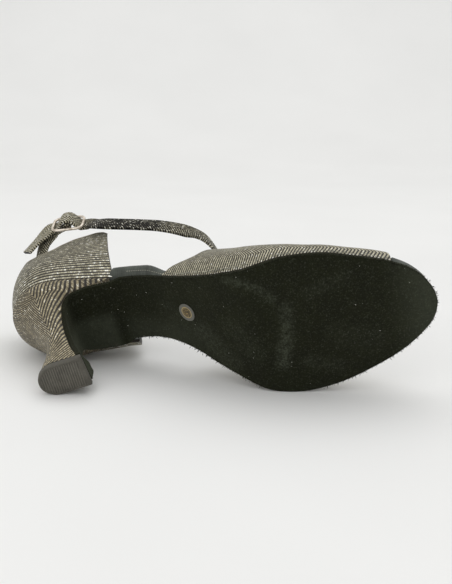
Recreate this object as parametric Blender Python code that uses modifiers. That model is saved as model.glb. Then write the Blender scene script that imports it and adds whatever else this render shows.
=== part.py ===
"""A woman's ballroom dance sandal for the right foot, lying on its inner side.

The shoe is modelled as it stands: X runs from the back of the counter to the toe, Y to the inner side of the foot and
Z up from the floor.  At the end the whole shoe is laid on its inner side, as a shoe comes to rest on a table.
All lengths are in metres.
"""

import math

import bmesh
import bpy
import numpy as np
from mathutils import Matrix, Vector

# Last: the main sizes of the shoe
LENGTH = 0.2295            # back of the seat to the tip of the toe
BALL_WIDTH = 0.080         # sole across the ball of the foot
HEEL_HEIGHT = 0.068        # floor to the underside of the seat, at the very back
INSTEP_HEIGHT = 0.064      # sole to the top of the vamp, at the throat
TOE_SPRING = 0.0036        # rise of the tip of the toe above the floor

# Sole and insole
SOLE_THICKNESS = 0.0022
INSOLE_THICKNESS = 0.0058
INSOLE_ROUND = 0.0016      # how far the insole's upper rim is rounded off
INSOLE_LEDGE = 0.0038      # how far the insole stands out past the sole at the waist

# Heel
TIP_LENGTH = 0.0256
TIP_WIDTH = 0.0176
TIP_THICKNESS = 0.0040
NECK_LENGTH = 0.0165
NECK_WIDTH = 0.0172
HEEL_YAW = math.radians(-5.0)
HEEL_SIDE = 0.0003         # middle of the heel towards the inner side

# Upper
SEAT_WIDTH = 0.0486        # counter across its lower edge
COUNTER_WIDTH = 0.0595     # counter across its widest part
COUNTER_LENGTH = 0.0645    # back of the counter to its front edge, on the outer side
COUNTER_HEIGHT = 0.046     # seat to the top line, at the very back
COUNTER_INNER = 0.0040     # how much farther forward it reaches on the inner side
COUNTER_LEAN = 0.0022      # how far the front edge leans back from the seat to the top line
UPPER_WALL = 0.0018
VAMP_BULGE = 0.0030        # how far the vamp swells past the edge of the sole
VAMP_FOOT = 0.20           # share of each side, from the sole up, that lies below the widest place

# Straps and buckle
STRAP_WIDTH = 0.0100
STRAP_THICKNESS = 0.0016
TAB_THICKNESS = 0.0011      # short strap that holds the buckle
TAB_WIDTH = 0.0092
STRAP_ROOT = 0.0114        # width of the instep strap where it leaves the vamp
BUCKLE_RISE = 0.0119       # counter's top line to the middle of the buckle
BUCKLE_STAND = 0.0072      # how far the buckle stands off the counter's side
BUCKLE_LENGTH = 0.0150
BUCKLE_WIDTH = 0.0132
BUCKLE_WIRE = 0.0017
TAIL_LENGTH = 0.0215
HUMP_FULLNESS = 1.35        # above 1 the strap rises more steeply over the buckle's bar
STRAP_SETTLE = 0.0009      # how much deeper the flat end of a strap lies under the round upper
BUCKLE_PLACE = -0.686      # on the counter's top line, from the outer front edge (-1) to the back (0)
ANCHOR_PLACE = -0.44       # where the buckle strap is sewn inside the counter

# Sticker on the waist
STICKER_DIAMETER = 0.0105
STICKER_THICKNESS = 0.0003
STICKER_AT = 0.442         # share of LENGTH
STICKER_SIDE = -0.0049

CLEARANCE = 0.0003         # gap between pieces that touch


def table(names, rows):
    """Columns of a hand-made table, by name."""
    return dict(zip(names.split(), np.array(rows, float).T))


# Outline of the sole: distance from the back as a share of LENGTH, half widths as shares of BALL_WIDTH
OUTLINE = table("at outer inner", [
    (0.173, 0.228, 0.262),
    (0.256, 0.258, 0.240),
    (0.337, 0.279, 0.202),
    (0.420, 0.309, 0.218),
    (0.502, 0.375, 0.334),
    (0.584, 0.441, 0.460),
    (0.667, 0.476, 0.525),
    (0.749, 0.450, 0.520),
    (0.831, 0.368, 0.463),
    (0.903, 0.275, 0.390),
    (0.960, 0.159, 0.298),
])
TOE_TIP = 0.168            # tip of the toe towards the inner side, as a share of BALL_WIDTH

# Underside of the sole: height as shares of HEEL_HEIGHT and of TOE_SPRING
UNDERSIDE = table("at heel toe", [
    (0.000, 0.998, 0.00),
    (0.089, 0.960, 0.00),
    (0.155, 0.912, 0.00),
    (0.203, 0.872, 0.00),
    (0.277, 0.813, 0.00),
    (0.358, 0.674, 0.00),
    (0.440, 0.432, 0.00),
    (0.523, 0.169, 0.00),
    (0.597, 0.018, 0.00),
    (0.642, 0.000, 0.00),
    (0.798, 0.000, 0.00),
    (0.914, 0.000, 0.33),
    (1.000, 0.000, 1.00),
])

# Heel block, ring by ring from the seat down: height at the back and at the front as shares of HEEL_HEIGHT, back and
# front as shares of LENGTH, half widths as shares of SEAT_WIDTH
HEEL = table("back_height front_height back front half front_half", [
    (0.930, 0.846, 0.017, 0.208, 0.492, 0.412),
    (0.850, 0.826, 0.034, 0.165, 0.452, 0.372),
    (0.765, 0.760, 0.053, 0.152, 0.402, 0.330),
    (0.620, 0.625, 0.078, 0.150, 0.325, 0.278),
    (0.460, 0.465, 0.101, 0.155, 0.255, 0.226),
])

# Counter, from its lower edge to its top line: back as a share of COUNTER_LENGTH, then how far it has swelled from
# SEAT_WIDTH towards COUNTER_WIDTH at the sides of the heel and at the front edges
COUNTER = table("level back swell front_swell", [
    (0.00, 0.006, 0.00, 0.00),
    (0.22, -0.016, 0.73, 1.06),
    (0.45, -0.024, 1.00, 1.52),
    (0.72, -0.012, 0.88, 1.60),
    (1.00, 0.022, 0.57, 1.44),
])
SEAT_TAPER = 0.885         # half width of the seat at the front edges, as a share of that at the sides
# Top line of the counter: from the back to the front edge as a share of COUNTER_LENGTH, height over the seat at the
# very back as a share of COUNTER_HEIGHT
TOP_LINE = table("at height", [
    (0.00, 1.000),
    (0.12, 0.880),
    (0.28, 0.690),
    (0.43, 0.640),
    (0.56, 0.720),
    (0.70, 0.790),
    (0.88, 0.780),
    (1.00, 0.690),
])

# Vamp, along the shoe: ridge height over the sole as a share of INSTEP_HEIGHT, ridge place as a share of BALL_WIDTH,
# half widths past the sole's edge as shares of VAMP_BULGE, height of the widest part as a share of INSTEP_HEIGHT
VAMP = table("at ridge ridge_side outer inner widest", [
    (0.390, 1.050, 0.000, 0.60, 0.80, 0.130),
    (0.465, 1.000, 0.020, 1.10, 1.10, 0.180),
    (0.525, 0.920, 0.035, 0.90, 0.80, 0.200),
    (0.586, 0.800, 0.050, 0.45, 0.40, 0.190),
    (0.678, 0.600, 0.070, 0.15, 0.20, 0.120),
    (0.760, 0.495, 0.090, 0.15, 0.20, 0.100),
    (0.850, 0.425, 0.100, 0.25, 0.20, 0.100),
    (0.960, 0.350, 0.110, 0.40, 0.20, 0.100),
])
# Cut edges of the vamp: from the outer edge of the sole (-1) over the ridge (0) to the inner edge (1), rear edge and
# front edge as shares of LENGTH
VAMP_EDGE = table("turn rear front", [
    (-1.00, 0.393, 0.911),
    (-0.86, 0.420, 0.906),
    (-0.70, 0.486, 0.896),
    (-0.40, 0.535, 0.861),
    (0.00, 0.562, 0.841),
    (0.40, 0.520, 0.867),
    (0.70, 0.458, 0.908),
    (0.86, 0.414, 0.922),
    (1.00, 0.399, 0.929),
])

# Instep strap between the throat and the buckle: share of the way, then shares of that distance outwards and upwards
STRAP_BOW = table("way out up", [
    (0.022, 0.034, 0.070),
    (0.065, 0.038, 0.118),
    (0.118, 0.047, 0.148),
    (0.184, 0.060, 0.156),
    (0.260, 0.074, 0.132),
    (0.412, 0.087, 0.080),
    (0.568, 0.085, 0.030),
    (0.772, 0.067, -0.030),
    (0.898, 0.044, -0.040),
])
# Short strap that holds the buckle, from the counter up to the buckle's bar: shares of BUCKLE_LENGTH in the buckle's
# own directions
TAB = table("along across out", [
    (-0.933, -0.667, -0.560),
    (-0.767, -0.300, -0.430),
    (-0.500, -0.053, -0.310),
    (-0.227, 0.000, -0.200),
])
STRAP_FACE = Vector((0.05, -1.0, -0.05))   # direction that the middle of the instep strap faces
BUCKLE_FACE = Vector((0.05, -1.0, -0.10))
BUCKLE_AHEAD = Vector((0.97, 0.05, -0.14)) # direction of the buckle's length, towards the toe
TAIL_FACE = Vector((-0.35, -0.90, 0.25))
TAIL_WAY = Vector((-0.78, 0.32, -0.54))    # direction from the buckle to the end of the tail
STRAP_TURN = -0.31         # where the instep strap leaves the vamp, from the ridge (0) towards the outer edge (-1)

MATERIALS = {
    "suede": ((0.020, 0.022, 0.017), 0.95, 0.0),
    "lining": ((0.075, 0.085, 0.080), 0.70, 0.0),
    "glitter_fabric": ((0.300, 0.270, 0.215), 0.45, 0.4),
    "rubber": ((0.110, 0.105, 0.095), 0.60, 0.0),
    "buckle_metal": ((0.640, 0.590, 0.530), 0.30, 0.9),
    "paper": ((0.380, 0.360, 0.300), 0.60, 0.0),
}


# Curves

def slopes(xs, ys):
    """Slope at each row of a table, level at a turning point so that the curve never overshoots."""
    steps = np.diff(ys) / np.diff(xs)
    inner = [0.0 if a * b <= 0 else 2 * a * b / (a + b) for a, b in zip(steps[:-1], steps[1:])]
    return np.array([steps[0], *inner, steps[-1]])


def read(rows, column, at, key="at"):
    """One column of a table at any place, as a smooth curve through its rows."""
    xs, ys = rows[key], rows[column]
    at = min(max(at, xs[0]), xs[-1])
    i = min(int(np.searchsorted(xs, at, side="right")) - 1, len(xs) - 2)
    run = xs[i + 1] - xs[i]
    t = (at - xs[i]) / run
    m = slopes(xs, ys) * run
    return float((2 * t**3 - 3 * t**2 + 1) * ys[i] + (t**3 - 2 * t**2 + t) * m[i]
                 + (3 * t**2 - 2 * t**3) * ys[i + 1] + (t**3 - t**2) * m[i + 1])


def through(points, samples):
    """A smooth curve through points, with the given number of samples in each stretch."""
    points = [Vector(p) for p in points]
    ends = [points[0] * 2 - points[1], *points, points[-1] * 2 - points[-2]]
    curve = []
    for before, start, stop, after in zip(ends, ends[1:], ends[2:], ends[3:]):
        knots = [0.0]
        for a, b in ((before, start), (start, stop), (stop, after)):
            knots.append(knots[-1] + max((b - a).length, 1e-6) ** 0.5)
        leave = ((start - before) / (knots[1] - knots[0]) - (stop - before) / (knots[2] - knots[0])
                 + (stop - start) / (knots[2] - knots[1])) * (knots[2] - knots[1])
        arrive = ((stop - start) / (knots[2] - knots[1]) - (after - start) / (knots[3] - knots[1])
                  + (after - stop) / (knots[3] - knots[2])) * (knots[2] - knots[1])
        for n in range(samples):
            t = n / samples
            curve.append(start * (2 * t**3 - 3 * t**2 + 1) + leave * (t**3 - 2 * t**2 + t)
                         + stop * (3 * t**2 - 2 * t**3) + arrive * (t**3 - t**2))
    return curve + [points[-1]]


def ease(value, low, high):
    """0 below low, 1 above high, smooth between."""
    t = min(max((value - low) / (high - low), 0.0), 1.0)
    return t * t * (3 - 2 * t)


def mix(a, b, share):
    return a + (b - a) * share


# Meshes

def add_object(name, mesh, material):
    thing = bpy.data.objects.new(name, mesh)
    SHOE.objects.link(thing)
    mesh.materials.append(MATERIAL[material])
    return thing


def finish_mesh(name, shape, material):
    """A new object from a bmesh, with its faces outwards and its round parts smooth."""
    bmesh.ops.recalc_face_normals(shape, faces=shape.faces)
    mesh = bpy.data.meshes.new(name)
    shape.to_mesh(mesh)
    shape.free()
    mesh.shade_smooth()
    mesh.set_sharp_from_angle(angle=math.radians(40))
    return add_object(name, mesh, material)


def loft(name, rings, material):
    """A closed body through rings of as many points, each end closed by rungs across its ring."""
    shape = bmesh.new()
    verts = [[shape.verts.new(p) for p in ring] for ring in rings]
    count = len(rings[0])
    for low, high in zip(verts, verts[1:]):
        for i in range(count):
            j = (i + 1) % count
            shape.faces.new((low[i], low[j], high[j], high[i]))
    for end in (verts[0], verts[-1]):
        for i in range(count // 2 - 1):
            shape.faces.new((end[i], end[i + 1], end[count - 2 - i], end[count - 1 - i]))
    return finish_mesh(name, shape, material)


def shell(name, rows, wall, material):
    """A grid of points on the outer face, thickened inwards."""
    shape = bmesh.new()
    verts = [[shape.verts.new(p) for p in row] for row in rows]
    for low, high in zip(verts, verts[1:]):
        for i in range(len(low) - 1):
            shape.faces.new((low[i], low[i + 1], high[i + 1], high[i]))
    mesh = bpy.data.meshes.new(name)
    shape.to_mesh(mesh)
    shape.free()
    mesh.shade_smooth()
    thing = add_object(name, mesh, material)
    thick = thing.modifiers.new("wall", "SOLIDIFY")
    thick.thickness = wall
    thick.offset = -1.0
    thick.use_even_offset = True
    return thing


# Sole

def underside(at, lift=0.0):
    """X and Z of the sole's underside at a share of LENGTH, moved up square to it."""
    def height(place):
        return (HEEL_HEIGHT * read(UNDERSIDE, "heel", place) + TOE_SPRING * read(UNDERSIDE, "toe", place))
    step = 0.004
    low, high = max(at - step, 0.0), min(at + step, 1.0)
    slope = (height(high) - height(low)) / ((high - low) * LENGTH)
    square = Vector((-slope, 1.0)).normalized()
    return at * LENGTH + square.x * lift, height(at) + square.y * lift


def sole_rungs(samples=3, toe_samples=(0.33, 0.62, 0.82, 0.94)):
    """Pairs of outer and inner edge points of the sole in plan, from the seat to the toe."""
    outer = [Vector((at * LENGTH, -half * BALL_WIDTH, 0)) for at, half in zip(OUTLINE["at"], OUTLINE["outer"])]
    inner = [Vector((at * LENGTH, half * BALL_WIDTH, 0)) for at, half in zip(OUTLINE["at"], OUTLINE["inner"])]
    tip = Vector((LENGTH, TOE_TIP * BALL_WIDTH, 0))
    fine = 50
    edge = through([*outer, tip, *reversed(inner)], fine)
    last = len(outer) - 1
    picks = [round(n * fine / samples) for n in range(last * samples + 1)]
    picks += [last * fine + round(share * fine) for share in toe_samples]
    return [(edge[i], edge[len(edge) - 1 - i]) for i in picks]


def edge_at(at, side):
    """Half width of the sole at a share of LENGTH; side is -1 for the outer edge, 1 for the inner."""
    return side * BALL_WIDTH * read(OUTLINE, "outer" if side < 0 else "inner", at)


def sole_ring(outer, inner, lift, thickness):
    """Ring of the sole's section between two edge points in plan."""
    ring = []
    for level, order in ((lift, (0.0, 0.35, 0.65, 1.0)), (lift + thickness, (1.0, 0.65, 0.35, 0.0))):
        for share in order:
            place = outer.lerp(inner, share)
            x, z = underside(place.x / LENGTH, level)
            ring.append(Vector((x, place.y, z)))
    return ring


def flat_ring(middle, square, across, thickness):
    """Ring of a strip's section: middle of its outer face, direction to its back and half of its width."""
    ring = []
    for depth, order in ((0.0, (0.0, 0.35, 0.65, 1.0)), (thickness, (1.0, 0.65, 0.35, 0.0))):
        for share in order:
            ring.append(middle + square * depth + across * mix(-1.0, 1.0, share))
    return ring


# Heel

TIP_FRONT = 0.1990 * LENGTH
SEAT_FRONT = COUNTER_LENGTH / LENGTH - 0.010
NECK_HEIGHT = 0.235 * HEEL_HEIGHT
LIP = 0.0010
FLAP_SHARE = 0.94          # width of the sole where it turns down the heel, as a share of the seat's front


def heel_plan(back, front, half, front_half):
    """One side of a heel's outline, from its front corner round to the back."""
    length = front - back
    bend = min(half * 1.15, length * 0.8)
    plan = [(front, front_half)]
    plan += [(mix(front, back + bend, share), mix(front_half, half, math.sin(share * math.pi / 2)))
             for share in (0.25, 0.5, 0.75)]
    plan += [(back + bend * (1 - math.cos(angle)), half * math.sin(angle) ** 0.92)
             for angle in np.radians((90, 75, 60, 45, 31, 18, 6))]
    return plan


def heel_ring(back, front, half, front_half, heights, yaw):
    """Ring of the heel in plan: straight across the front, round at the back, level or tilted."""
    plan = heel_plan(back, front, half, front_half)
    middle = (front + back) / 2
    ring = []
    for x, y in [(x, -y) for x, y in plan] + [(x, y) for x, y in reversed(plan)]:
        turned = Matrix.Rotation(yaw, 2) @ Vector((x - middle, y))
        height = mix(heights[0], heights[1], (x - back) / (front - back))
        ring.append(Vector((middle + turned.x, HEEL_SIDE + turned.y, height)))
    return ring


def seat_ring(lift_back, lift_front):
    """Ring of the heel block that lies along the seat."""
    half = SEAT_WIDTH / 2
    ring = heel_ring(COUNTER["back"][0] * COUNTER_LENGTH, SEAT_FRONT * LENGTH, half, SEAT_TAPER * half, (0, 0), 0.0)
    seated = []
    for point in ring:
        share = point.x / (SEAT_FRONT * LENGTH)
        x, z = underside(point.x / LENGTH, mix(lift_back, lift_front, share))
        seated.append(Vector((point.x, point.y, z)))
    return seated


def heel_rows():
    """Back, front, half widths, heights and yaw of each ring below the seat."""
    rows = []
    for i in range(len(HEEL["back"])):
        heights = (HEEL["back_height"][i] * HEEL_HEIGHT, HEEL["front_height"][i] * HEEL_HEIGHT)
        rows.append((HEEL["back"][i] * LENGTH, HEEL["front"][i] * LENGTH, HEEL["half"][i] * SEAT_WIDTH,
                     HEEL["front_half"][i] * SEAT_WIDTH, heights, HEEL_YAW * ease(i, 0, len(HEEL["back"]))))
    breast = TIP_FRONT - SOLE_THICKNESS - CLEARANCE
    neck_front = breast - 0.16 * TIP_LENGTH
    neck = (neck_front - NECK_LENGTH, neck_front, NECK_WIDTH / 2, NECK_WIDTH * 0.46, (NECK_HEIGHT,) * 2, HEEL_YAW)
    tip_back = TIP_FRONT - TIP_LENGTH
    top = TIP_THICKNESS + CLEARANCE
    middle_height = (NECK_HEIGHT + top) / 2
    flare = (mix(neck[0], tip_back, 0.38), mix(neck[1], breast, 0.5), mix(neck[2], TIP_WIDTH / 2, 0.3),
             mix(neck[3], TIP_WIDTH * 0.48, 0.3), (middle_height,) * 2, HEEL_YAW)
    foot = (tip_back + 0.0005, breast, TIP_WIDTH / 2 - 0.0002, TIP_WIDTH * 0.48, (top,) * 2, HEEL_YAW)
    rows += [neck, flare, foot]
    rear = through([(row[0], row[4][0], row[2]) for row in rows], 3)
    front = through([(row[1], row[4][1], row[3]) for row in rows], 3)
    yaws = through([(row[5], 0, 0) for row in rows], 3)
    return [(b.x, f.x, b.z, f.z, (b.y, f.y), yaw.x) for b, f, yaw in zip(rear, front, yaws)]


def make_heel_block():
    top = SOLE_THICKNESS
    rings = [seat_ring(top, top), seat_ring(top - 2 * LIP, top - LIP)]
    rings += [heel_ring(*row) for row in heel_rows()]
    return loft("heel_block", rings, "glitter_fabric")


def make_heel_tip():
    plan = (TIP_FRONT - TIP_LENGTH, TIP_FRONT, TIP_WIDTH / 2, TIP_WIDTH / 2)
    rings = [heel_ring(*plan, (height,) * 2, HEEL_YAW) for height in (0.0, TIP_THICKNESS)]
    return loft("heel_tip", rings, "rubber")


def make_outsole():
    """The suede sole: along the foot, under the lip of the heel block and down its front."""
    rungs = sole_rungs()
    start = SEAT_FRONT * LENGTH + 0.004
    rings = [sole_ring(outer, inner, 0.0, SOLE_THICKNESS) for outer, inner in reversed(rungs) if outer.x > start]
    back = SOLE_THICKNESS + CLEARANCE
    lip_x, lip_z = underside(SEAT_FRONT, SOLE_THICKNESS - LIP - back)
    rings.append(flat_ring(Vector((lip_x, HEEL_SIDE, lip_z)), Vector((0, 0, 1)),
                           Vector((0, FLAP_SHARE * SEAT_TAPER * SEAT_WIDTH / 2, 0)), SOLE_THICKNESS))
    fronts = []
    for rear, front, half, front_half, heights, yaw in heel_rows():
        middle = (front + rear) / 2
        turn = Matrix.Rotation(yaw, 2)
        centre = turn @ Vector((front - middle, 0))
        side = turn @ Vector((0, front_half))
        fronts.append((Vector((middle + centre.x, HEEL_SIDE + centre.y, heights[1])), Vector((side.x, side.y, 0))))
    for i, (point, across) in enumerate(fronts):
        before = fronts[i - 1][0] if i else Vector((lip_x, HEEL_SIDE, lip_z + back))
        after = fronts[min(i + 1, len(fronts) - 1)][0]
        square = across.cross(after - before).normalized()
        outer = point - square * back
        outer.z = max(outer.z, TIP_THICKNESS + CLEARANCE)
        rings.append(flat_ring(outer, square, across, SOLE_THICKNESS))
    return loft("outsole", rings, "suede")


def insole_edges():
    """Pairs of edge points of the insole's underside in plan, with the ledge past each, from the heel to the toe."""
    inset = UPPER_WALL + CLEARANCE
    back = COUNTER["back"][0] * COUNTER_LENGTH + inset
    half = SEAT_WIDTH / 2 - inset
    front_half = SEAT_TAPER * SEAT_WIDTH / 2 - inset
    outer_front = COUNTER_LENGTH + CLEARANCE
    inner_front = outer_front + COUNTER_INNER
    outer_plan = heel_plan(back, outer_front, half, front_half)
    inner_plan = heel_plan(back, inner_front, half, front_half)
    edges = [((a, HEEL_SIDE - b), (c, HEEL_SIDE + d), 0.0, 0.0)
             for (a, b), (c, d) in zip(reversed(outer_plan), reversed(inner_plan))]
    step = 0.0008
    for ahead, share in ((0.3, 0.55), (1.3, 1.0)):
        ends = [(front + step * ahead, edge_at((front + step * ahead) / LENGTH, side))
                for front, side in ((outer_front, -1), (inner_front, 1))]
        edges.append((*ends, -INSOLE_LEDGE * share, INSOLE_LEDGE * share))
    for outer, inner in sole_rungs(5):
        if outer.x < inner_front + 2 * step:
            continue
        ends = []
        for point, turn in ((outer, -1.0), (inner, 1.0)):
            rear = read(VAMP_EDGE, "rear", turn, "turn") * LENGTH
            toe = read(VAMP_EDGE, "front", turn, "turn") * LENGTH
            open_waist = 1 - ease(point.x, rear - 0.006, rear - 0.002)
            open_toe = ease(point.x, toe + 0.003, toe + 0.009)
            covered = (1 - open_waist) * (1 - open_toe)
            room = UPPER_WALL + 3 * CLEARANCE
            ends.append(((point.x, point.y - turn * room * covered), turn * INSOLE_LEDGE
                         * (open_waist + 0.05 * open_toe)))
        edges.append((ends[0][0], ends[1][0], ends[0][1], ends[1][1]))
    return edges


def make_insole():
    rings = []
    low = SOLE_THICKNESS + CLEARANCE
    levels = (low, low + 0.5 * INSOLE_THICKNESS, low + INSOLE_THICKNESS)
    for outer, inner, out_ledge, in_ledge in insole_edges():
        rim = INSOLE_ROUND * 0.6
        section = [(outer[1], 0), (mix(outer[1], inner[1], 0.35), 0), (mix(outer[1], inner[1], 0.65), 0),
                   (inner[1], 0), (inner[1] + in_ledge, 1),
                   (inner[1] + in_ledge - rim, 2), (mix(outer[1], inner[1], 0.65), 2),
                   (mix(outer[1], inner[1], 0.35), 2), (outer[1] + out_ledge + rim, 2), (outer[1] + out_ledge, 1)]
        spread = inner[1] - outer[1]
        ring = []
        for y, level in section:
            share = min(max((y - outer[1]) / spread, 0.0), 1.0)
            x, z = underside(mix(outer[0], inner[0], share) / LENGTH, levels[level])
            ring.append(Vector((x, y, z)))
        rings.append(ring)
    return loft("insole", rings, "lining")


# Upper

def counter_point(place, level, depth=0.0):
    """Point of the counter: place runs from -1 at the outer front edge round the back to 1 at the inner one."""
    back = read(COUNTER, "back", level, "level") * COUNTER_LENGTH + depth
    swell = (COUNTER_WIDTH - SEAT_WIDTH) / 2
    half = SEAT_WIDTH / 2 + swell * read(COUNTER, "swell", level, "level") - depth
    front_half = SEAT_TAPER * SEAT_WIDTH / 2 + swell * read(COUNTER, "front_swell", level, "level") - depth
    front = COUNTER_LENGTH + (COUNTER_INNER if place > 0 else 0.0) - COUNTER_LEAN * level
    plan = heel_plan(back, front, half, front_half)
    spot = (1 - abs(place)) * (len(plan) - 1)
    i = min(int(spot), len(plan) - 2)
    x = mix(plan[i][0], plan[i + 1][0], spot - i)
    y = mix(plan[i][1], plan[i + 1][1], spot - i)
    low = underside(x / LENGTH, SOLE_THICKNESS + CLEARANCE)[1]
    seat = HEEL_HEIGHT + SOLE_THICKNESS
    high = seat + COUNTER_HEIGHT * read(TOP_LINE, "height", x / front)
    return Vector((x, HEEL_SIDE + math.copysign(y, place), mix(low, high, level)))


def counter_square(place, level):
    """Direction out of the counter."""
    step = 0.02
    along = counter_point(place + step, level) - counter_point(place - step, level)
    up = counter_point(place, level + step) - counter_point(place, level - step)
    return up.cross(along).normalized()


def make_counter():
    sides = len(heel_plan(0.0, COUNTER_LENGTH, SEAT_WIDTH / 2, SEAT_WIDTH / 2)) - 1
    places = [1 - i / sides for i in range(sides)] + [1e-6]
    places += [-place for place in reversed(places)]
    levels = [i / 9 for i in range(10)]
    rows = [[counter_point(place, level) for place in places] for level in levels]
    return shell("upper_counter", rows, UPPER_WALL, "glitter_fabric")


def vamp_point(at, turn):
    """Point of the vamp's outer face: turn runs from -1 at the outer edge of the sole over the ridge to 1."""
    side = "outer" if turn < 0 else "inner"
    edge = BALL_WIDTH * read(OUTLINE, side, at)
    swell = VAMP_BULGE * read(VAMP, side, at)
    widest = INSTEP_HEIGHT * read(VAMP, "widest", at)
    ridge = INSTEP_HEIGHT * read(VAMP, "ridge", at)
    ridge_side = BALL_WIDTH * read(VAMP, "ridge_side", at)
    share = abs(turn)
    if share > 1 - VAMP_FOOT:
        rise = (1 - share) / VAMP_FOOT
        y = math.copysign(edge + swell * math.sin(rise * math.pi / 2), turn)
        height = widest * rise
    else:
        angle = share / (1 - VAMP_FOOT) * math.pi / 2
        y = ridge_side + (math.copysign(edge + swell, turn) - ridge_side) * math.sin(angle) ** 1.15
        height = widest + (ridge - widest) * math.cos(angle) ** 1.22
    x, low = underside(at, SOLE_THICKNESS + CLEARANCE)
    return Vector((x, y, low + height))


def vamp_square(at, turn):
    """Direction out of the vamp."""
    step = 0.01
    along = vamp_point(at + step, turn) - vamp_point(at - step, turn)
    across = vamp_point(at, turn + step) - vamp_point(at, turn - step)
    return along.cross(across).normalized()


def make_vamp():
    turns = [1 - i / 15 for i in range(31)]
    along = [i / 14 for i in range(15)]
    rows = []
    for share in along:
        row = []
        for turn in turns:
            rear = read(VAMP_EDGE, "rear", turn, "turn")
            front = read(VAMP_EDGE, "front", turn, "turn")
            row.append(vamp_point(mix(rear, front, share), turn))
        rows.append(row)
    return shell("upper_vamp", rows, UPPER_WALL, "glitter_fabric")


# Straps and buckle

def band(name, path, thickness, material):
    """A flat band: rows of middle point, direction out of its face and width."""
    rows = []
    for i, (middle, square, width) in enumerate(path):
        along = (path[min(i + 1, len(path) - 1)][0] - path[max(i - 1, 0)][0]).normalized()
        across = along.cross(square).normalized()
        out = across.cross(along).normalized()
        face = middle + out * thickness / 2
        rows.append([face + across * width * share for share in (-0.5, -0.17, 0.17, 0.5)])
    return shell(name, rows, thickness, material)


def buckle_frame():
    """Middle of the buckle, and its directions along the strap, across it and outwards."""
    place = BUCKLE_PLACE
    top = counter_point(place, 1.0)
    outwards = BUCKLE_FACE.normalized()
    middle = top + Vector((0, -BUCKLE_STAND, BUCKLE_RISE))
    along = (BUCKLE_AHEAD - outwards * BUCKLE_AHEAD.dot(outwards)).normalized()
    return middle, along, outwards.cross(along).normalized(), outwards


def make_buckle():
    middle, along, across, outwards = buckle_frame()
    corner = 0.22 * BUCKLE_WIDTH
    outline = []
    for sign_a, sign_w, start in ((1, 1, 0), (-1, 1, 90), (-1, -1, 180), (1, -1, 270)):
        for angle in np.radians((start, start + 30, start + 60, start + 90)):
            a = sign_a * (BUCKLE_LENGTH / 2 - corner) + corner * math.cos(angle)
            w = sign_w * (BUCKLE_WIDTH / 2 - corner) + corner * math.sin(angle)
            outline.append(middle + along * a + across * w)
    frame = wire("buckle_frame", outline, True)
    reach = BUCKLE_WIDTH / 2
    bar = wire("buckle_bar", [middle - across * reach, middle + across * reach], False)
    join = frame.modifiers.new("bar", "BOOLEAN")
    join.operation = "UNION"
    join.object = bar
    join.solver = "EXACT"
    return frame


def wire(name, points, closed):
    """A round wire through points, as a mesh."""
    curve = bpy.data.curves.new(name, "CURVE")
    curve.dimensions = "3D"
    curve.bevel_depth = BUCKLE_WIRE / 2
    curve.bevel_resolution = 2
    curve.use_fill_caps = True
    spline = curve.splines.new("POLY")
    spline.points.add(len(points) - 1)
    for spot, point in zip(spline.points, points):
        spot.co = (*point, 1.0)
    spline.use_cyclic_u = closed
    holder = bpy.data.objects.new(name, curve)
    CUTTERS.objects.link(holder)
    mesh = bpy.data.meshes.new_from_object(holder.evaluated_get(bpy.context.evaluated_depsgraph_get()))
    shape = bmesh.new()
    shape.from_mesh(mesh)
    bmesh.ops.remove_doubles(shape, verts=shape.verts, dist=1e-6)
    bmesh.ops.recalc_face_normals(shape, faces=shape.faces)
    shape.to_mesh(mesh)
    shape.free()
    bpy.data.objects.remove(holder)
    bpy.data.curves.remove(curve)
    mesh.name = name
    if not closed:
        thing = bpy.data.objects.new(name, mesh)
        CUTTERS.objects.link(thing)
        thing.hide_render = True
        thing.display_type = "WIRE"
        return thing
    mesh.materials.clear()
    return add_object(name, mesh, "buckle_metal")


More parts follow.
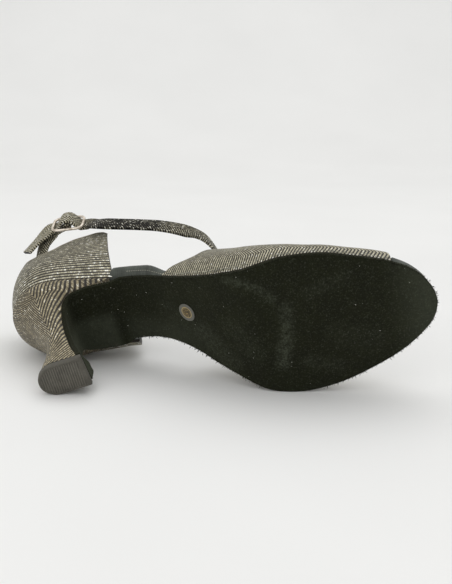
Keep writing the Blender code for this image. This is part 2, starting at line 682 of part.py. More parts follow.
def make_instep_strap():
    middle, along, across, outwards = buckle_frame()
    depth = UPPER_WALL + CLEARANCE + STRAP_THICKNESS / 2
    edge = read(VAMP_EDGE, "rear", STRAP_TURN, "turn")
    path = []
    for step in (0.034, 0.015, -0.005):
        square = vamp_square(edge + step, STRAP_TURN)
        path.append((vamp_point(edge + step, STRAP_TURN) - square * (depth + STRAP_SETTLE), square, STRAP_ROOT))
    root = path[-1][0]
    hump = BUCKLE_WIRE / 2 + 5 * CLEARANCE + TAB_THICKNESS + STRAP_THICKNESS / 2
    under = -(BUCKLE_WIRE / 2 + CLEARANCE + STRAP_THICKNESS / 2)
    half = BUCKLE_LENGTH / 2
    enter = middle + along * (half + 0.004) + outwards * under
    way = enter - root
    distance = way.length
    guide = [root]
    for share, out, up in zip(STRAP_BOW["way"], STRAP_BOW["out"], STRAP_BOW["up"]):
        guide.append(root + way * share + Vector((0, -out, up)) * distance)
    free = through(guide + [enter], 3)[1:]
    start = path[-1][1]
    for i, point in enumerate(free):
        share = (i + 1) / len(free)
        square = start.lerp(STRAP_FACE, ease(share, 0.0, 0.62)).lerp(outwards, ease(share, 0.6, 1.0)).normalized()
        path.append((point, square, mix(STRAP_ROOT, STRAP_WIDTH, ease(share, 0.0, 0.14))))
    rise = half - BUCKLE_WIRE / 2 - 0.0002
    for step in range(1, 24):
        a = mix(half + 0.004, -half - 0.0014, step / 23)
        lift = 0.5 + 0.5 * math.cos(math.pi * min(abs(a) / rise, 1.0) ** HUMP_FULLNESS)
        path.append((middle + along * a + outwards * mix(under, hump, lift), outwards, STRAP_WIDTH))
    last = path[-1][0]
    way = TAIL_WAY.normalized()
    guide = [path[-2][0], last, last + (way * 0.72 - along * 0.28).normalized() * TAIL_LENGTH * 0.45, last + way * TAIL_LENGTH]
    tail = through(guide, 4)[5:]
    for i, point in enumerate(tail):
        share = (i + 1) / len(tail)
        path.append((point, outwards.lerp(TAIL_FACE, ease(share, 0.0, 0.7)).normalized(), STRAP_WIDTH))
    return band("instep_strap", path, STRAP_THICKNESS, "glitter_fabric")


def make_buckle_strap():
    """From inside the counter up to the buckle's bar, round it and back."""
    middle, along, across, outwards = buckle_frame()
    inside = UPPER_WALL + CLEARANCE + TAB_THICKNESS / 2 + STRAP_SETTLE
    bend = BUCKLE_WIRE / 2 + CLEARANCE + TAB_THICKNESS / 2
    guide = [counter_point(ANCHOR_PLACE, level, inside) for level in (0.70, 0.84, 0.98)]
    for a, w, n in zip(TAB["along"], TAB["across"], TAB["out"]):
        guide.append(middle + (along * a + across * w + outwards * n) * BUCKLE_LENGTH)
    start = counter_square(ANCHOR_PLACE, 0.84)
    rise = through(guide, 3)
    path = [(point, start.lerp(outwards, ease(i, 6, 13)).normalized(), TAB_WIDTH) for i, point in enumerate(rise)]
    for angle in np.radians((-105, -80, -50, -20, 10, 40, 70, 100, 125)):
        out = along * math.cos(angle) + outwards * math.sin(angle)
        path.append((middle + out * bend, -out, TAB_WIDTH))
    for a, n in ((-1.25, 0.25), (-1.6, -0.30)):
        path.append((middle + (along * a + outwards * n) * bend, along * 0.6 - outwards * 0.8, TAB_WIDTH))
    return band("buckle_strap", path, TAB_THICKNESS, "lining")


def make_sticker():
    x, z = underside(STICKER_AT, 0.0)
    far_x, far_z = underside(STICKER_AT + 0.01, 0.0)
    near_x, near_z = underside(STICKER_AT - 0.01, 0.0)
    slope = Vector((far_x - near_x, 0, far_z - near_z)).normalized()
    square = Vector((-slope.z, 0, slope.x))
    bpy.ops.mesh.primitive_cylinder_add(vertices=32, radius=STICKER_DIAMETER / 2, depth=STICKER_THICKNESS)
    disc = bpy.context.object
    disc.name = "size_sticker"
    disc.data.name = "size_sticker"
    disc.rotation_euler = Vector((0, 0, 1)).rotation_difference(square).to_euler()
    stand = STICKER_THICKNESS / 2 + CLEARANCE
    disc.location = Vector((x, STICKER_SIDE, z)) - square * stand
    for holder in disc.users_collection:
        holder.objects.unlink(disc)
    SHOE.objects.link(disc)
    disc.data.materials.append(MATERIAL["paper"])
    disc.data.shade_smooth()
    disc.data.set_sharp_from_angle(angle=math.radians(40))
    return disc


# Resting on its side

def resting_face(points, centre):
    """The flat that the shoe rests on when it lies on its inner side: outward normal and a point of it."""
    hull = bmesh.new()
    for point in points:
        hull.verts.new(point)
    result = bmesh.ops.convex_hull(hull, input=hull.verts)
    faces = [face for face in result["geom"] if isinstance(face, bmesh.types.BMFace)]
    best, best_lean = None, -2.0
    for face in faces:
        face.normal_update()
        normal = face.normal.copy()
        corners = [vert.co.copy() for vert in face.verts]
        if normal.dot(corners[0] - centre) < 0:
            normal.negate()
        below = centre + normal * normal.dot(corners[0] - centre)
        turns = [(b - a).cross(below - a).dot(normal) for a, b in zip(corners, corners[1:] + corners[:1])]
        inside = min(turns) > 0 or max(turns) < 0
        if inside and normal.y > best_lean:
            best, best_lean = (normal, corners[0]), normal.y
    hull.free()
    return best


def lay_down():
    """Turn the shoe from standing to lying on its inner side, toe along X and sole towards -Y, centred on the origin."""
    graph = bpy.context.evaluated_depsgraph_get()
    points, weighed, volume = [], Vector(), 0.0
    for thing in SHOE.objects:
        shape = bmesh.new()
        shape.from_object(thing, graph)
        shape.transform(thing.matrix_world)
        bmesh.ops.triangulate(shape, faces=shape.faces)
        for face in shape.faces:
            a, b, c = (vert.co for vert in face.verts)
            part = a.dot(b.cross(c)) / 6
            weighed += (a + b + c) / 4 * part
            volume += part
        points += [vert.co.copy() for vert in shape.verts]
        shape.free()
    down, _ = resting_face(points, weighed / volume)
    up = -down
    ahead = Vector((1, 0, 0))
    ahead = (ahead - up * ahead.dot(up)).normalized()
    turn = Matrix((ahead, up.cross(ahead), up)).to_4x4()
    laid = [turn @ point for point in points]
    low = Vector([min(p[i] for p in laid) for i in range(3)])
    high = Vector([max(p[i] for p in laid) for i in range(3)])
    shift = Vector(((low.x + high.x) / 2, (low.y + high.y) / 2, low.z))
    return Matrix.Translation(-shift) @ turn


def run():
    make_heel_block()
    make_heel_tip()
    make_outsole()
    make_insole()
    make_counter()
    make_vamp()
    make_buckle()
    make_instep_strap()
    make_buckle_strap()
    make_sticker()
    bpy.context.view_layer.update()
    laid = lay_down()
    rest = bpy.data.objects.new("laid_on_its_side", None)
    SHOE.objects.link(rest)
    for thing in [*SHOE.objects, *CUTTERS.objects]:
        if thing is not rest:
            thing.parent = rest
    rest.matrix_world = laid
    bpy.context.view_layer.update()
    return laid


for thing in list(bpy.data.objects):
    bpy.data.objects.remove(thing, do_unlink=True)
SHOE = bpy.data.collections.new("dance_shoe")
bpy.context.scene.collection.children.link(SHOE)
CUTTERS = bpy.data.collections.new("cutters")
bpy.context.scene.collection.children.link(CUTTERS)
MATERIAL = {}
for material_name, (colour, roughness, metallic) in MATERIALS.items():
    finish = bpy.data.materials.new(material_name)
    finish.use_nodes = True
    principled = finish.node_tree.nodes["Principled BSDF"]
    principled.inputs["Base Color"].default_value = (*colour, 1.0)
    principled.inputs["Roughness"].default_value = roughness
    principled.inputs["Metallic"].default_value = metallic
    MATERIAL[material_name] = finish
LAID = run()
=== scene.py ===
# %% [markdown]
# # A dance shoe on its side
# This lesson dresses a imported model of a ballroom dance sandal. The shoe lies on its inner side
# and shows its sole. Each piece is made as the shoemaker's own piece: a suede sole, a padded
# insole, a covered heel, a closed counter, a vamp, a strap and a buckle. The pieces are made
# standing up, because a shoe is drawn that way, and one matrix at the end of each step lays them
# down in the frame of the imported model.

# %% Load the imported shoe
import math

import bmesh
import bpy
import numpy as np
from mathutils import Matrix, Vector


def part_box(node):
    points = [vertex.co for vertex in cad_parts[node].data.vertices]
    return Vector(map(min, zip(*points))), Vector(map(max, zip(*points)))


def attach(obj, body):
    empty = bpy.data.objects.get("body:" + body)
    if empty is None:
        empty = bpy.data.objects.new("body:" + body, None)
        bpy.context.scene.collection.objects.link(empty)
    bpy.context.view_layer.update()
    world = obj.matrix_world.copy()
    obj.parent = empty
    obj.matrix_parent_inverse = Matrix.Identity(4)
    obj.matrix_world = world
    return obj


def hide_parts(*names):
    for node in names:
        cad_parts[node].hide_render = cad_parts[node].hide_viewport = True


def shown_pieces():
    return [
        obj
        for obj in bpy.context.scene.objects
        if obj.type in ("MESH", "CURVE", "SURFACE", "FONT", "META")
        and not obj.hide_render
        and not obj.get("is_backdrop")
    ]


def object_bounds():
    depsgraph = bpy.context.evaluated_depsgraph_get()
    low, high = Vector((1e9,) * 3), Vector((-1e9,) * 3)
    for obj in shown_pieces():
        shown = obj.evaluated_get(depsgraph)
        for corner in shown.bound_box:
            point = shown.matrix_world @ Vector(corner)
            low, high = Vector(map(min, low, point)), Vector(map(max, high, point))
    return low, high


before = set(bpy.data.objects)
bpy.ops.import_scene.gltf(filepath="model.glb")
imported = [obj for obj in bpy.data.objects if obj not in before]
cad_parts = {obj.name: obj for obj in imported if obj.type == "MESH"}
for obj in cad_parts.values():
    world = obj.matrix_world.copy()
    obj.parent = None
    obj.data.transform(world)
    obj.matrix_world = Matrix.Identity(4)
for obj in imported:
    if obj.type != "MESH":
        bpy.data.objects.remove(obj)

MM = 0.001
bpy.context.scene.view_settings.view_transform = "Standard"
cad_box = [list(corner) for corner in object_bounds()]
print("packed nodes", sorted(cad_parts))
print("packed box in mm", [[round(value / MM, 1) for value in corner] for corner in cad_box])

# %% [markdown]
# ## Sizes of the shoe
# A last is the wooden foot that a shoe is built on, and its few main sizes fix everything else.
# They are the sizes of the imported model, in metres; only the widths of strap and buckle, the
# rounding of the insole and the tip of the toe are a little nearer to the photograph here. Typing
# them once by name keeps every later step short: a piece that follows the last asks for BALL_WIDTH
# and not for a bare number.

# %% Main sizes
LENGTH = 0.2295
BALL_WIDTH = 0.080
HEEL_HEIGHT = 0.068
INSTEP_HEIGHT = 0.064
TOE_SPRING = 0.0036
SOLE_THICKNESS = 0.0022
INSOLE_THICKNESS = 0.0058
INSOLE_ROUND = 0.0010
INSOLE_LEDGE = 0.0038
TIP_LENGTH = 0.0256
TIP_WIDTH = 0.0176
TIP_THICKNESS = 0.0040
NECK_LENGTH = 0.0165
NECK_WIDTH = 0.0172
HEEL_YAW = math.radians(-5.0)
HEEL_SIDE = 0.0003
SEAT_WIDTH = 0.0486
SEAT_TAPER = 0.885
COUNTER_WIDTH = 0.0595
COUNTER_LENGTH = 0.0645
COUNTER_HEIGHT = 0.046
COUNTER_INNER = 0.0040
COUNTER_LEAN = 0.0022
UPPER_WALL = 0.0018
VAMP_BULGE = 0.0030
VAMP_FOOT = 0.20
STRAP_WIDTH = 0.0106
STRAP_THICKNESS = 0.0016
STRAP_ROOT = 0.0165
STRAP_TURN = -0.31
STRAP_SETTLE = 0.0009
TAB_THICKNESS = 0.0011
TAB_WIDTH = 0.0092
BUCKLE_RISE = 0.0119
BUCKLE_STAND = 0.0072
BUCKLE_LENGTH = 0.0184
BUCKLE_WIDTH = 0.0138
BUCKLE_SHIFT = 0.0016
BUCKLE_WIRE = 0.0017
BUCKLE_PLACE = -0.686
ANCHOR_PLACE = -0.44
TAIL_LENGTH = 0.0215
HUMP_FULLNESS = 1.35
STICKER_DIAMETER = 0.0105
STICKER_AT = 0.442
STICKER_SIDE = -0.0049
GAP = 0.0003
TIP_FRONT = 0.1990 * LENGTH
SEAT_FRONT = COUNTER_LENGTH / LENGTH - 0.010
NECK_HEIGHT = 0.235 * HEEL_HEIGHT
LIP = 0.0010
FLAP_SHARE = 0.94
BREAST_BOW = 0.0034
INNER_BULGE = 0.0022
TOE_TIP = 0.100
print("shoe", round(LENGTH / MM, 1), "mm long,", round(BALL_WIDTH / MM, 1), "mm across the ball")

# %% [markdown]
# ## Outlines as tables
# A shoe has no simple formula. Its outlines are read off and kept as small tables with
# named columns, and a smooth curve runs through the rows. The cubic used here goes level at every
# turning point, so it never swings past the numbers that were typed, as an ordinary spline would.

# %% Tables of the last
def table(names, rows):
    """Columns of a given table, by name."""
    return dict(zip(names.split(), np.array(rows, float).T))


OUTLINE = table("at outer inner", [
    (0.173, 0.228, 0.262), (0.256, 0.258, 0.240), (0.337, 0.279, 0.202), (0.420, 0.309, 0.218),
    (0.502, 0.375, 0.334), (0.584, 0.441, 0.460), (0.667, 0.476, 0.525), (0.749, 0.450, 0.520),
    (0.831, 0.368, 0.463), (0.903, 0.275, 0.390), (0.957, 0.163, 0.300), (0.987, 0.042, 0.218),
])
UNDERSIDE = table("at heel toe", [
    (0.000, 0.998, 0.00), (0.089, 0.960, 0.00), (0.155, 0.912, 0.00), (0.203, 0.872, 0.00),
    (0.277, 0.813, 0.00), (0.358, 0.674, 0.00), (0.440, 0.432, 0.00), (0.523, 0.169, 0.00),
    (0.597, 0.018, 0.00), (0.642, 0.000, 0.00), (0.798, 0.000, 0.00), (0.914, 0.000, 0.33),
    (1.000, 0.000, 1.00),
])
HEEL = table("back_height front_height back front half front_half", [
    (0.930, 0.846, 0.017, 0.208, 0.492, 0.412), (0.850, 0.826, 0.034, 0.165, 0.452, 0.372),
    (0.765, 0.760, 0.053, 0.152, 0.402, 0.330), (0.620, 0.625, 0.078, 0.150, 0.325, 0.278),
    (0.460, 0.465, 0.101, 0.155, 0.255, 0.226),
])
COUNTER = table("level back swell front_swell", [
    (0.00, 0.006, 0.00, 0.00), (0.22, -0.016, 0.73, 1.06), (0.45, -0.024, 1.00, 1.52),
    (0.72, -0.012, 0.88, 1.60), (1.00, 0.022, 0.57, 1.44),
])
TOP_LINE = table("at height", [
    (0.00, 1.000), (0.12, 0.880), (0.28, 0.690), (0.43, 0.640),
    (0.56, 0.720), (0.70, 0.790), (0.88, 0.780), (1.00, 0.690),
])
VAMP = table("at ridge ridge_side outer inner widest", [
    (0.390, 1.050, 0.000, 0.60, 0.80, 0.130), (0.465, 1.000, 0.020, 1.10, 1.10, 0.180),
    (0.525, 0.920, 0.035, 1.30, 0.80, 0.200), (0.586, 0.800, 0.050, 1.35, 0.40, 0.190),
    (0.678, 0.600, 0.070, 0.70, 0.20, 0.120), (0.760, 0.495, 0.090, 0.15, 0.20, 0.100),
    (0.850, 0.425, 0.100, 0.25, 0.20, 0.100), (0.960, 0.350, 0.110, 0.40, 0.20, 0.100),
])
VAMP_EDGE = table("turn rear front", [
    (-1.00, 0.393, 0.911), (-0.86, 0.420, 0.914), (-0.70, 0.486, 0.910), (-0.40, 0.535, 0.878),
    (0.00, 0.562, 0.841), (0.40, 0.520, 0.867), (0.70, 0.458, 0.908), (0.86, 0.414, 0.922),
    (1.00, 0.399, 0.929),
])
STRAP_BOW = table("way out up", [
    (0.022, 0.040, 0.060), (0.065, 0.064, 0.112), (0.118, 0.078, 0.142), (0.184, 0.080, 0.150),
    (0.260, 0.088, 0.138), (0.412, 0.094, 0.092), (0.568, 0.085, 0.042), (0.772, 0.067, -0.022),
    (0.898, 0.044, -0.036),
])
TAB = table("along across out", [
    (-0.847, -0.544, -0.457), (-0.712, -0.245, -0.350), (-0.495, -0.043, -0.253), (-0.272, 0.000, -0.163),
])
STRAP_FACE = Vector((0.05, -1.0, -0.05))
BUCKLE_FACE = Vector((0.05, -1.0, -0.10))
BUCKLE_AHEAD = Vector((0.97, 0.05, -0.14))
TAIL_FACE = Vector((-0.35, -0.90, 0.05))
TAIL_WAY = Vector((-0.78, 0.32, -0.54))
print("tables", len(OUTLINE["at"]), "rows for the sole,", len(VAMP["at"]), "for the vamp")


# %% Curves through the tables
def mix(a, b, share):
    return a + (b - a) * share


def ease(value, low, high):
    """0 below low, 1 above high, smooth between."""
    t = min(max((value - low) / (high - low), 0.0), 1.0)
    return t * t * (3 - 2 * t)


def read(rows, column, at, key="at"):
    """One column of a table at any place."""
    xs, ys = rows[key], rows[column]
    at = min(max(at, xs[0]), xs[-1])
    i = min(int(np.searchsorted(xs, at, side="right")) - 1, len(xs) - 2)
    steps = np.diff(ys) / np.diff(xs)
    inner = [0.0 if a * b <= 0 else 2 * a * b / (a + b) for a, b in zip(steps[:-1], steps[1:])]
    run = xs[i + 1] - xs[i]
    m = np.array([steps[0], *inner, steps[-1]]) * run
    t = (at - xs[i]) / run
    return float((2 * t**3 - 3 * t**2 + 1) * ys[i] + (t**3 - 2 * t**2 + t) * m[i]
                 + (3 * t**2 - 2 * t**3) * ys[i + 1] + (t**3 - t**2) * m[i + 1])


def through(points, samples):
    """A smooth curve through points, with the given number of samples in each stretch."""
    points = [Vector(p) for p in points]
    ends = [points[0] * 2 - points[1], *points, points[-1] * 2 - points[-2]]
    curve = []
    for before, start, stop, after in zip(ends, ends[1:], ends[2:], ends[3:]):
        knots = [0.0]
        for a, b in ((before, start), (start, stop), (stop, after)):
            knots.append(knots[-1] + max((b - a).length, 1e-6) ** 0.5)
        leave = ((start - before) / (knots[1] - knots[0]) - (stop - before) / (knots[2] - knots[0])
                 + (stop - start) / (knots[2] - knots[1])) * (knots[2] - knots[1])
        arrive = ((stop - start) / (knots[2] - knots[1]) - (after - start) / (knots[3] - knots[1])
                  + (after - stop) / (knots[3] - knots[2])) * (knots[2] - knots[1])
        for n in range(samples):
            t = n / samples
            curve.append(start * (2 * t**3 - 3 * t**2 + 1) + leave * (t**3 - 2 * t**2 + t)
                         + stop * (3 * t**2 - 2 * t**3) + arrive * (t**3 - t**2))
    return curve + [points[-1]]


print("sole half width at the ball", round(read(OUTLINE, "inner", 0.667) * BALL_WIDTH / MM, 1), "mm")


# %% Laying the standing shoe down
LAID = Matrix((
    (0.9683973, 0.241092, -0.0638843, -0.1085308),
    (0.0, 0.2561393, 0.96664, -0.0515416),
    (0.2494124, -0.9360916, 0.2480446, 0.0016586),
    (0.0, 0.0, 0.0, 1.0),
))
lying_toe = LAID @ Vector((LENGTH, TOE_TIP * BALL_WIDTH, TOE_SPRING))
print("the tip of the toe lies at", [round(value / MM, 1) for value in lying_toe], "mm")

# %% [markdown]
# ## From sheets to pieces
# Nearly every piece of a shoe is cut from a sheet: cloth, suede or lining. So one helper makes a
# sheet from rows of points, and Solidify gives it its wall. Each corner also gets two pairs of
# numbers, kept as UV maps. The first, weave, says where the corner lies on the cloth: millimetres
# along a rib, and the number of ribs crossed. The second, tone, says how light and how glittery
# the cloth is there. A pattern that reads them turns with the cloth.

# %% Sheets, walls and hand-over
def sheet_mesh(name, rows, inside, weave=None, tone=None, closed=False, caps=False, finishes=None):
    """A sheet through rows of points whose faces look away from the point called inside."""
    shape = bmesh.new()
    verts = [[shape.verts.new(p) for p in row] for row in rows]
    maps = [(shape.loops.layers.uv.new("weave"), weave), (shape.loops.layers.uv.new("tone"), tone)]
    count = len(rows[0])
    facing = 0.0
    for r in range(len(rows) - 1):
        for c in range(count if closed else count - 1):
            corners = ((r, c), (r, c + 1), (r + 1, c + 1), (r + 1, c))
            face = shape.faces.new([verts[a][b % count] for a, b in corners])
            face.material_index = finishes[c] if finishes else 0
            face.normal_update()
            facing += face.normal.dot(face.calc_center_median() - inside) * face.calc_area()
            for loop, (a, b) in zip(face.loops, corners):
                for layer, values in maps:
                    if values is not None:
                        loop[layer].uv = values[a][b]
    if caps:
        for row in (verts[0], verts[-1]):
            shape.faces.new(row).material_index = max(finishes or [0])
        bmesh.ops.recalc_face_normals(shape, faces=shape.faces)
    elif facing < 0:
        bmesh.ops.reverse_faces(shape, faces=shape.faces)
    mesh = bpy.data.meshes.new(name)
    shape.to_mesh(mesh)
    shape.free()
    mesh.shade_smooth()
    return mesh


def stand(name, mesh, *finishes):
    """The mesh as an object of the scene, with its finishes in order."""
    thing = bpy.data.objects.new(name, mesh)
    bpy.context.scene.collection.objects.link(thing)
    mesh.materials.clear()
    for finish in finishes:
        mesh.materials.append(finish)
    return thing


def add_wall(thing, thickness, rounding):
    """A sheet gets its thickness inwards, and rounded rims; its finishes are outside, lining and rim."""
    wall = thing.modifiers.new("wall", "SOLIDIFY")
    wall.thickness = thickness
    wall.offset = -1.0
    wall.use_even_offset = True
    wall.material_offset = 1
    wall.material_offset_rim = 2
    rims = thing.modifiers.new("rims", "BEVEL")
    rims.width = rounding
    rims.segments = 3
    rims.limit_method = "ANGLE"
    rims.angle_limit = math.radians(50)
    rims.harden_normals = False


def hand_over(thing, node=None):
    """Fix the modifiers into the mesh, lay it down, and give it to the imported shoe."""
    graph = bpy.context.evaluated_depsgraph_get()
    mesh = bpy.data.meshes.new_from_object(thing.evaluated_get(graph))
    thing.modifiers.clear()
    thing.data = mesh
    mesh.name = thing.name
    mesh.transform(LAID)
    mesh.set_sharp_from_angle(angle=math.radians(45))
    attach(thing, "root")
    if node:
        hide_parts(node)
        proud = []
        for i, (low, high) in enumerate(zip(*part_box(node))):
            places = [v.co[i] for v in mesh.vertices]
            proud.append(round(max(low - min(places), max(places) - high) / MM, 1))
        print("past its node by", proud, "mm:")
    print(thing.name, len(mesh.polygons), "faces")


def lengths_along(points):
    """Distance walked at each point of a row, in millimetres."""
    walked = [0.0]
    for a, b in zip(points, points[1:]):
        walked.append(walked[-1] + (b - a).length / MM)
    return walked


sample_walk = [Vector((0, 0, 0)), Vector((3 * MM, 4 * MM, 0))]
print("a walk of 3 mm by 4 mm is", round(lengths_along(sample_walk)[-1], 1), "mm long")

# %% [markdown]
# ## A small language for materials
# A material in Blender is a web of nodes, and sums in it are Math nodes. Wiring them one by one
# hides the idea, so a Wire stands for one output and knows how to add, subtract and multiply: an
# expression such as 1 - ridge * 0.4 places the Math nodes by itself. Every other node comes from
# one method, which takes the settings first, because they decide which sockets the node has.

# %% Wires and finishes
class Wire:
    """One output of a shader node."""

    def __init__(self, finish, socket):
        self.finish = finish
        self.socket = socket

    def __add__(self, other):
        return self.finish.math("ADD", self, other)

    def __radd__(self, other):
        return self.finish.math("ADD", other, self)

    def __sub__(self, other):
        return self.finish.math("SUBTRACT", self, other)

    def __rsub__(self, other):
        return self.finish.math("SUBTRACT", other, self)

    def __mul__(self, other):
        return self.finish.math("MULTIPLY", self, other)

    def __rmul__(self, other):
        return self.finish.math("MULTIPLY", other, self)

    def __truediv__(self, other):
        return self.finish.math("DIVIDE", self, other)


def wire_up(tree, kind, settings=None, inputs=None):
    """A node of any tree: its settings first, then the values or links of its sockets."""
    node = tree.nodes.new(kind)
    for key, value in (settings or {}).items():
        setattr(node, key, value)
    for key, value in (inputs or {}).items():
        value = value.socket if isinstance(value, Wire) else value
        if isinstance(value, bpy.types.NodeSocket):
            tree.links.new(value, node.inputs[key])
        else:
            node.inputs[key].default_value = value
    return node


def paint(red, green, blue):
    """A colour as it looks on a screen, from 0 to 255, as the light values that a shader wants."""
    light = []
    for value in (red, green, blue):
        share = value / 255
        light.append(((share + 0.055) / 1.055) ** 2.4 if value > 10 else share / 12.92)
    return (*light, 1.0)


class Finish:
    """One material, and the wires in it."""

    def __init__(self, name):
        self.material = bpy.data.materials.new(name)
        self.material.use_nodes = True
        self.tree = self.material.node_tree
        self.shader = self.tree.nodes["Principled BSDF"]

    def node(self, kind, settings=None, inputs=None, out=0):
        return Wire(self, wire_up(self.tree, kind, settings, inputs).outputs[out])

    def math(self, operation, *values, clamp=False):
        settings = {"operation": operation, "use_clamp": clamp}
        return self.node("ShaderNodeMath", settings, dict(enumerate(values)))

    def blend(self, share, a, b):
        """Colour a where share is 0 and b where it is 1."""
        return self.node("ShaderNodeMix", {"data_type": "RGBA"}, {0: share, 6: a, 7: b}, 2)

    def place(self):
        return self.node("ShaderNodeTexCoord", out="Object")

    def map_pair(self, name):
        """The two numbers of one of the piece's UV maps."""
        pair = self.node("ShaderNodeUVMap", {"uv_map": name})
        parts = wire_up(self.tree, "ShaderNodeSeparateXYZ", None, {0: pair}).outputs
        return Wire(self, parts[0]), Wire(self, parts[1])

    def noise(self, grain, detail=3.0, rough=0.55):
        """Cloudy noise from 0 to 1 with spots about as large as grain, in millimetres."""
        return self.node("ShaderNodeTexNoise", None, {"Vector": self.place(), "Scale": 1 / (grain * MM),
                                                      "Detail": detail, "Roughness": rough})

    def grains(self, size):
        """Three random numbers for each grain, and the distance to the middle of the grain."""
        cells = wire_up(self.tree, "ShaderNodeTexVoronoi", None,
                        {"Vector": self.place(), "Scale": 1 / (size * MM)})
        parts = wire_up(self.tree, "ShaderNodeSeparateColor", None, {0: cells.outputs["Color"]}).outputs
        return [Wire(self, part) for part in parts], Wire(self, cells.outputs["Distance"])

    def step(self, value, low, high):
        """0 below low and 1 above high."""
        return self.node("ShaderNodeMapRange", {"interpolation_type": "SMOOTHSTEP"},
                         {"Value": value, "From Min": low, "From Max": high})

    def bump(self, height, depth, strength=1.0):
        """Relief of the given depth in millimetres where height runs from 0 to 1."""
        return self.node("ShaderNodeBump", None,
                         {"Height": height, "Distance": depth * MM, "Strength": strength})

    def set(self, **values):
        for key, value in values.items():
            socket = self.shader.inputs[key.replace("_", " ")]
            if isinstance(value, Wire):
                self.tree.links.new(value.socket, socket)
            else:
                socket.default_value = value
        return self.material


print("a mid grey of 128 is", round(paint(128, 128, 128)[0], 3), "as light")

# %% [markdown]
# ## The ribbed glitter cloth
# The upper and the heel wear a dark cloth with raised ribs, and each rib is a row of small silver
# and champagne beads with sparks between them. The ribs could be modelled one by one, but there
# are hundreds, and they bend with the cloth. So the cloth is one material: the weave map counts
# the ribs, a folded ramp gives each rib its round back, a second one along it cuts it into beads,
# and a field of tiny grains makes a few of them flash. The heel and the straps wear the same cloth
# in tones of their own; on the straps it is duller and darker, and the darkness is painted shade.

# %% Glitter cloth
def glitter_cloth(name, dark, middle, light, spark, bead=1.15, shine=0.5):
    f = Finish(name)
    along, rib = f.map_pair("weave")
    lightness, glitter = f.map_pair("tone")
    waver = f.noise(3.2, 2.0) - 0.5
    crossed = rib + waver * 0.22
    row = f.math("FLOOR", crossed)
    ridge = f.math("PINGPONG", crossed, 0.5) * 2
    crest = f.step(ridge, 0.22, 0.82)
    string = along / bead + row * 0.37 + waver
    round_bead = f.step(f.math("PINGPONG", string, 0.5) * 2, 0.0, 0.8)
    cell = f.node("ShaderNodeCombineXYZ", None, {0: f.math("FLOOR", string), 1: row})
    own = wire_up(f.tree, "ShaderNodeTexWhiteNoise", {"noise_dimensions": "2D"}, {"Vector": cell}).outputs
    luck = Wire(f, own[0])
    patch = f.noise(6.0, 3.0)
    numbers, reach = f.grains(0.5)
    uneven = (luck - 0.5) * 0.55 + (numbers[1] - 0.5) * 0.4
    share = f.math("ADD", lightness + (patch - 0.5) * 0.55, uneven, clamp=True)
    shade = crest * (0.62 + 0.38 * round_bead)
    colour = f.blend(shade, dark, f.blend(share, middle, light))
    flash = f.step(luck * 0.6 + numbers[0] * 0.4 + glitter * 0.5, 0.98, 1.08) * f.step(shade, 0.25, 0.6)
    colour = f.blend(flash * 0.9, colour, spark)
    height = crest * (0.6 + 0.4 * round_bead) + (1 - reach) * 0.15 + flash * 0.15
    return f.set(Base_Color=colour, Roughness=0.50 - flash * 0.22, Metallic=0.10 + flash * 0.40,
                 Specular_IOR_Level=shine, Normal=f.bump(height, 0.32, 0.9))


CLOTH = glitter_cloth("glitter_fabric_ribbed", paint(24, 20, 12), paint(74, 69, 52),
                      paint(218, 211, 182), paint(252, 251, 242))
HEEL_CLOTH = glitter_cloth("glitter_fabric_heel", paint(26, 21, 12), paint(84, 76, 54),
                           paint(208, 194, 158), paint(246, 242, 226))
# The straps' copy of the cloth: its darker colours are painted shade.
SHADED_STRAP_CLOTH = glitter_cloth("glitter_fabric_strap", paint(6, 5, 3), paint(26, 24, 18),
                            paint(214, 207, 180), paint(250, 248, 236), bead=1.0, shine=0.1)
print("cloths", CLOTH.name, HEEL_CLOTH.name, SHADED_STRAP_CLOTH.name)

# %% [markdown]
# ## Suede
# The sole is chrome suede, split leather with its nap up, so a dancer can turn on it. Nap is a
# forest of short fibres: it swallows light, it turns pale where it is worn flat, and it catches
# white lint. The colour is made of three sizes of noise, the worn marks and a pale veil come from
# the tone map, and a constant sheen gives the soft edge of a nap. Along the rim of the toe the pale
# veil is painted sheen.

# %% Suede of the sole
def suede(name, dark, worn, lint):
    f = Finish(name)
    scuff, pale = f.map_pair("tone")
    nap = f.noise(0.9, 4.0, 0.75)
    tuft = f.noise(2.6, 4.0, 0.7)
    cloud = f.noise(13.0, 4.0, 0.6)
    numbers, reach = f.grains(1.8)
    deep = paint(*[value * 0.72 for value in dark])
    body = f.blend(f.step(cloud * 0.5 + tuft * 0.5, 0.36, 0.66), deep, paint(*dark))
    body = f.blend(f.step(nap, 0.50, 0.74) * 0.30, body, paint(*worn))
    rubbed = scuff * f.step(tuft * 0.5 + nap * 0.5, 0.34, 0.66)
    body = f.blend(rubbed * 0.32, body, paint(*worn))
    # Pale veil from the tone map; along the rim of the toe it is painted sheen.
    body = f.blend(pale * (0.35 + 0.65 * tuft) * 0.6, body, paint(*worn))
    speck = f.step(numbers[0], 0.962, 0.970) * (1 - f.step(reach, 0.07, 0.13))
    body = f.blend(speck * 0.8, body, paint(*lint))
    return f.set(Base_Color=body, Roughness=0.97, Normal=f.bump(nap * 0.5 + tuft * 0.5, 0.35, 0.8),
                 Specular_IOR_Level=0.12, Sheen_Weight=0.06, Sheen_Roughness=0.6,
                 Sheen_Tint=(0.66, 0.70, 0.48, 1.0))


SUEDE = suede("suede_nap", (22, 24, 10), (92, 97, 84), (226, 226, 216))
CUT_SUEDE = suede("suede_cut_edge", (21, 22, 10), (70, 72, 58), (205, 204, 194))
print("suedes", SUEDE.name, CUT_SUEDE.name)


# %% [markdown]
# ## Lining, rubber, metal and paper
# The insole and the inside wear a thin dark grey-green lining, the tip of the heel is hard rubber
# cut with fine grooves, the buckle is plated wire, and a small paper disc sticks to the waist.
# Each has one detail that sells it: a fine knit, the grooves, faint scratches, and a printed ring
# with a dotted rosette.

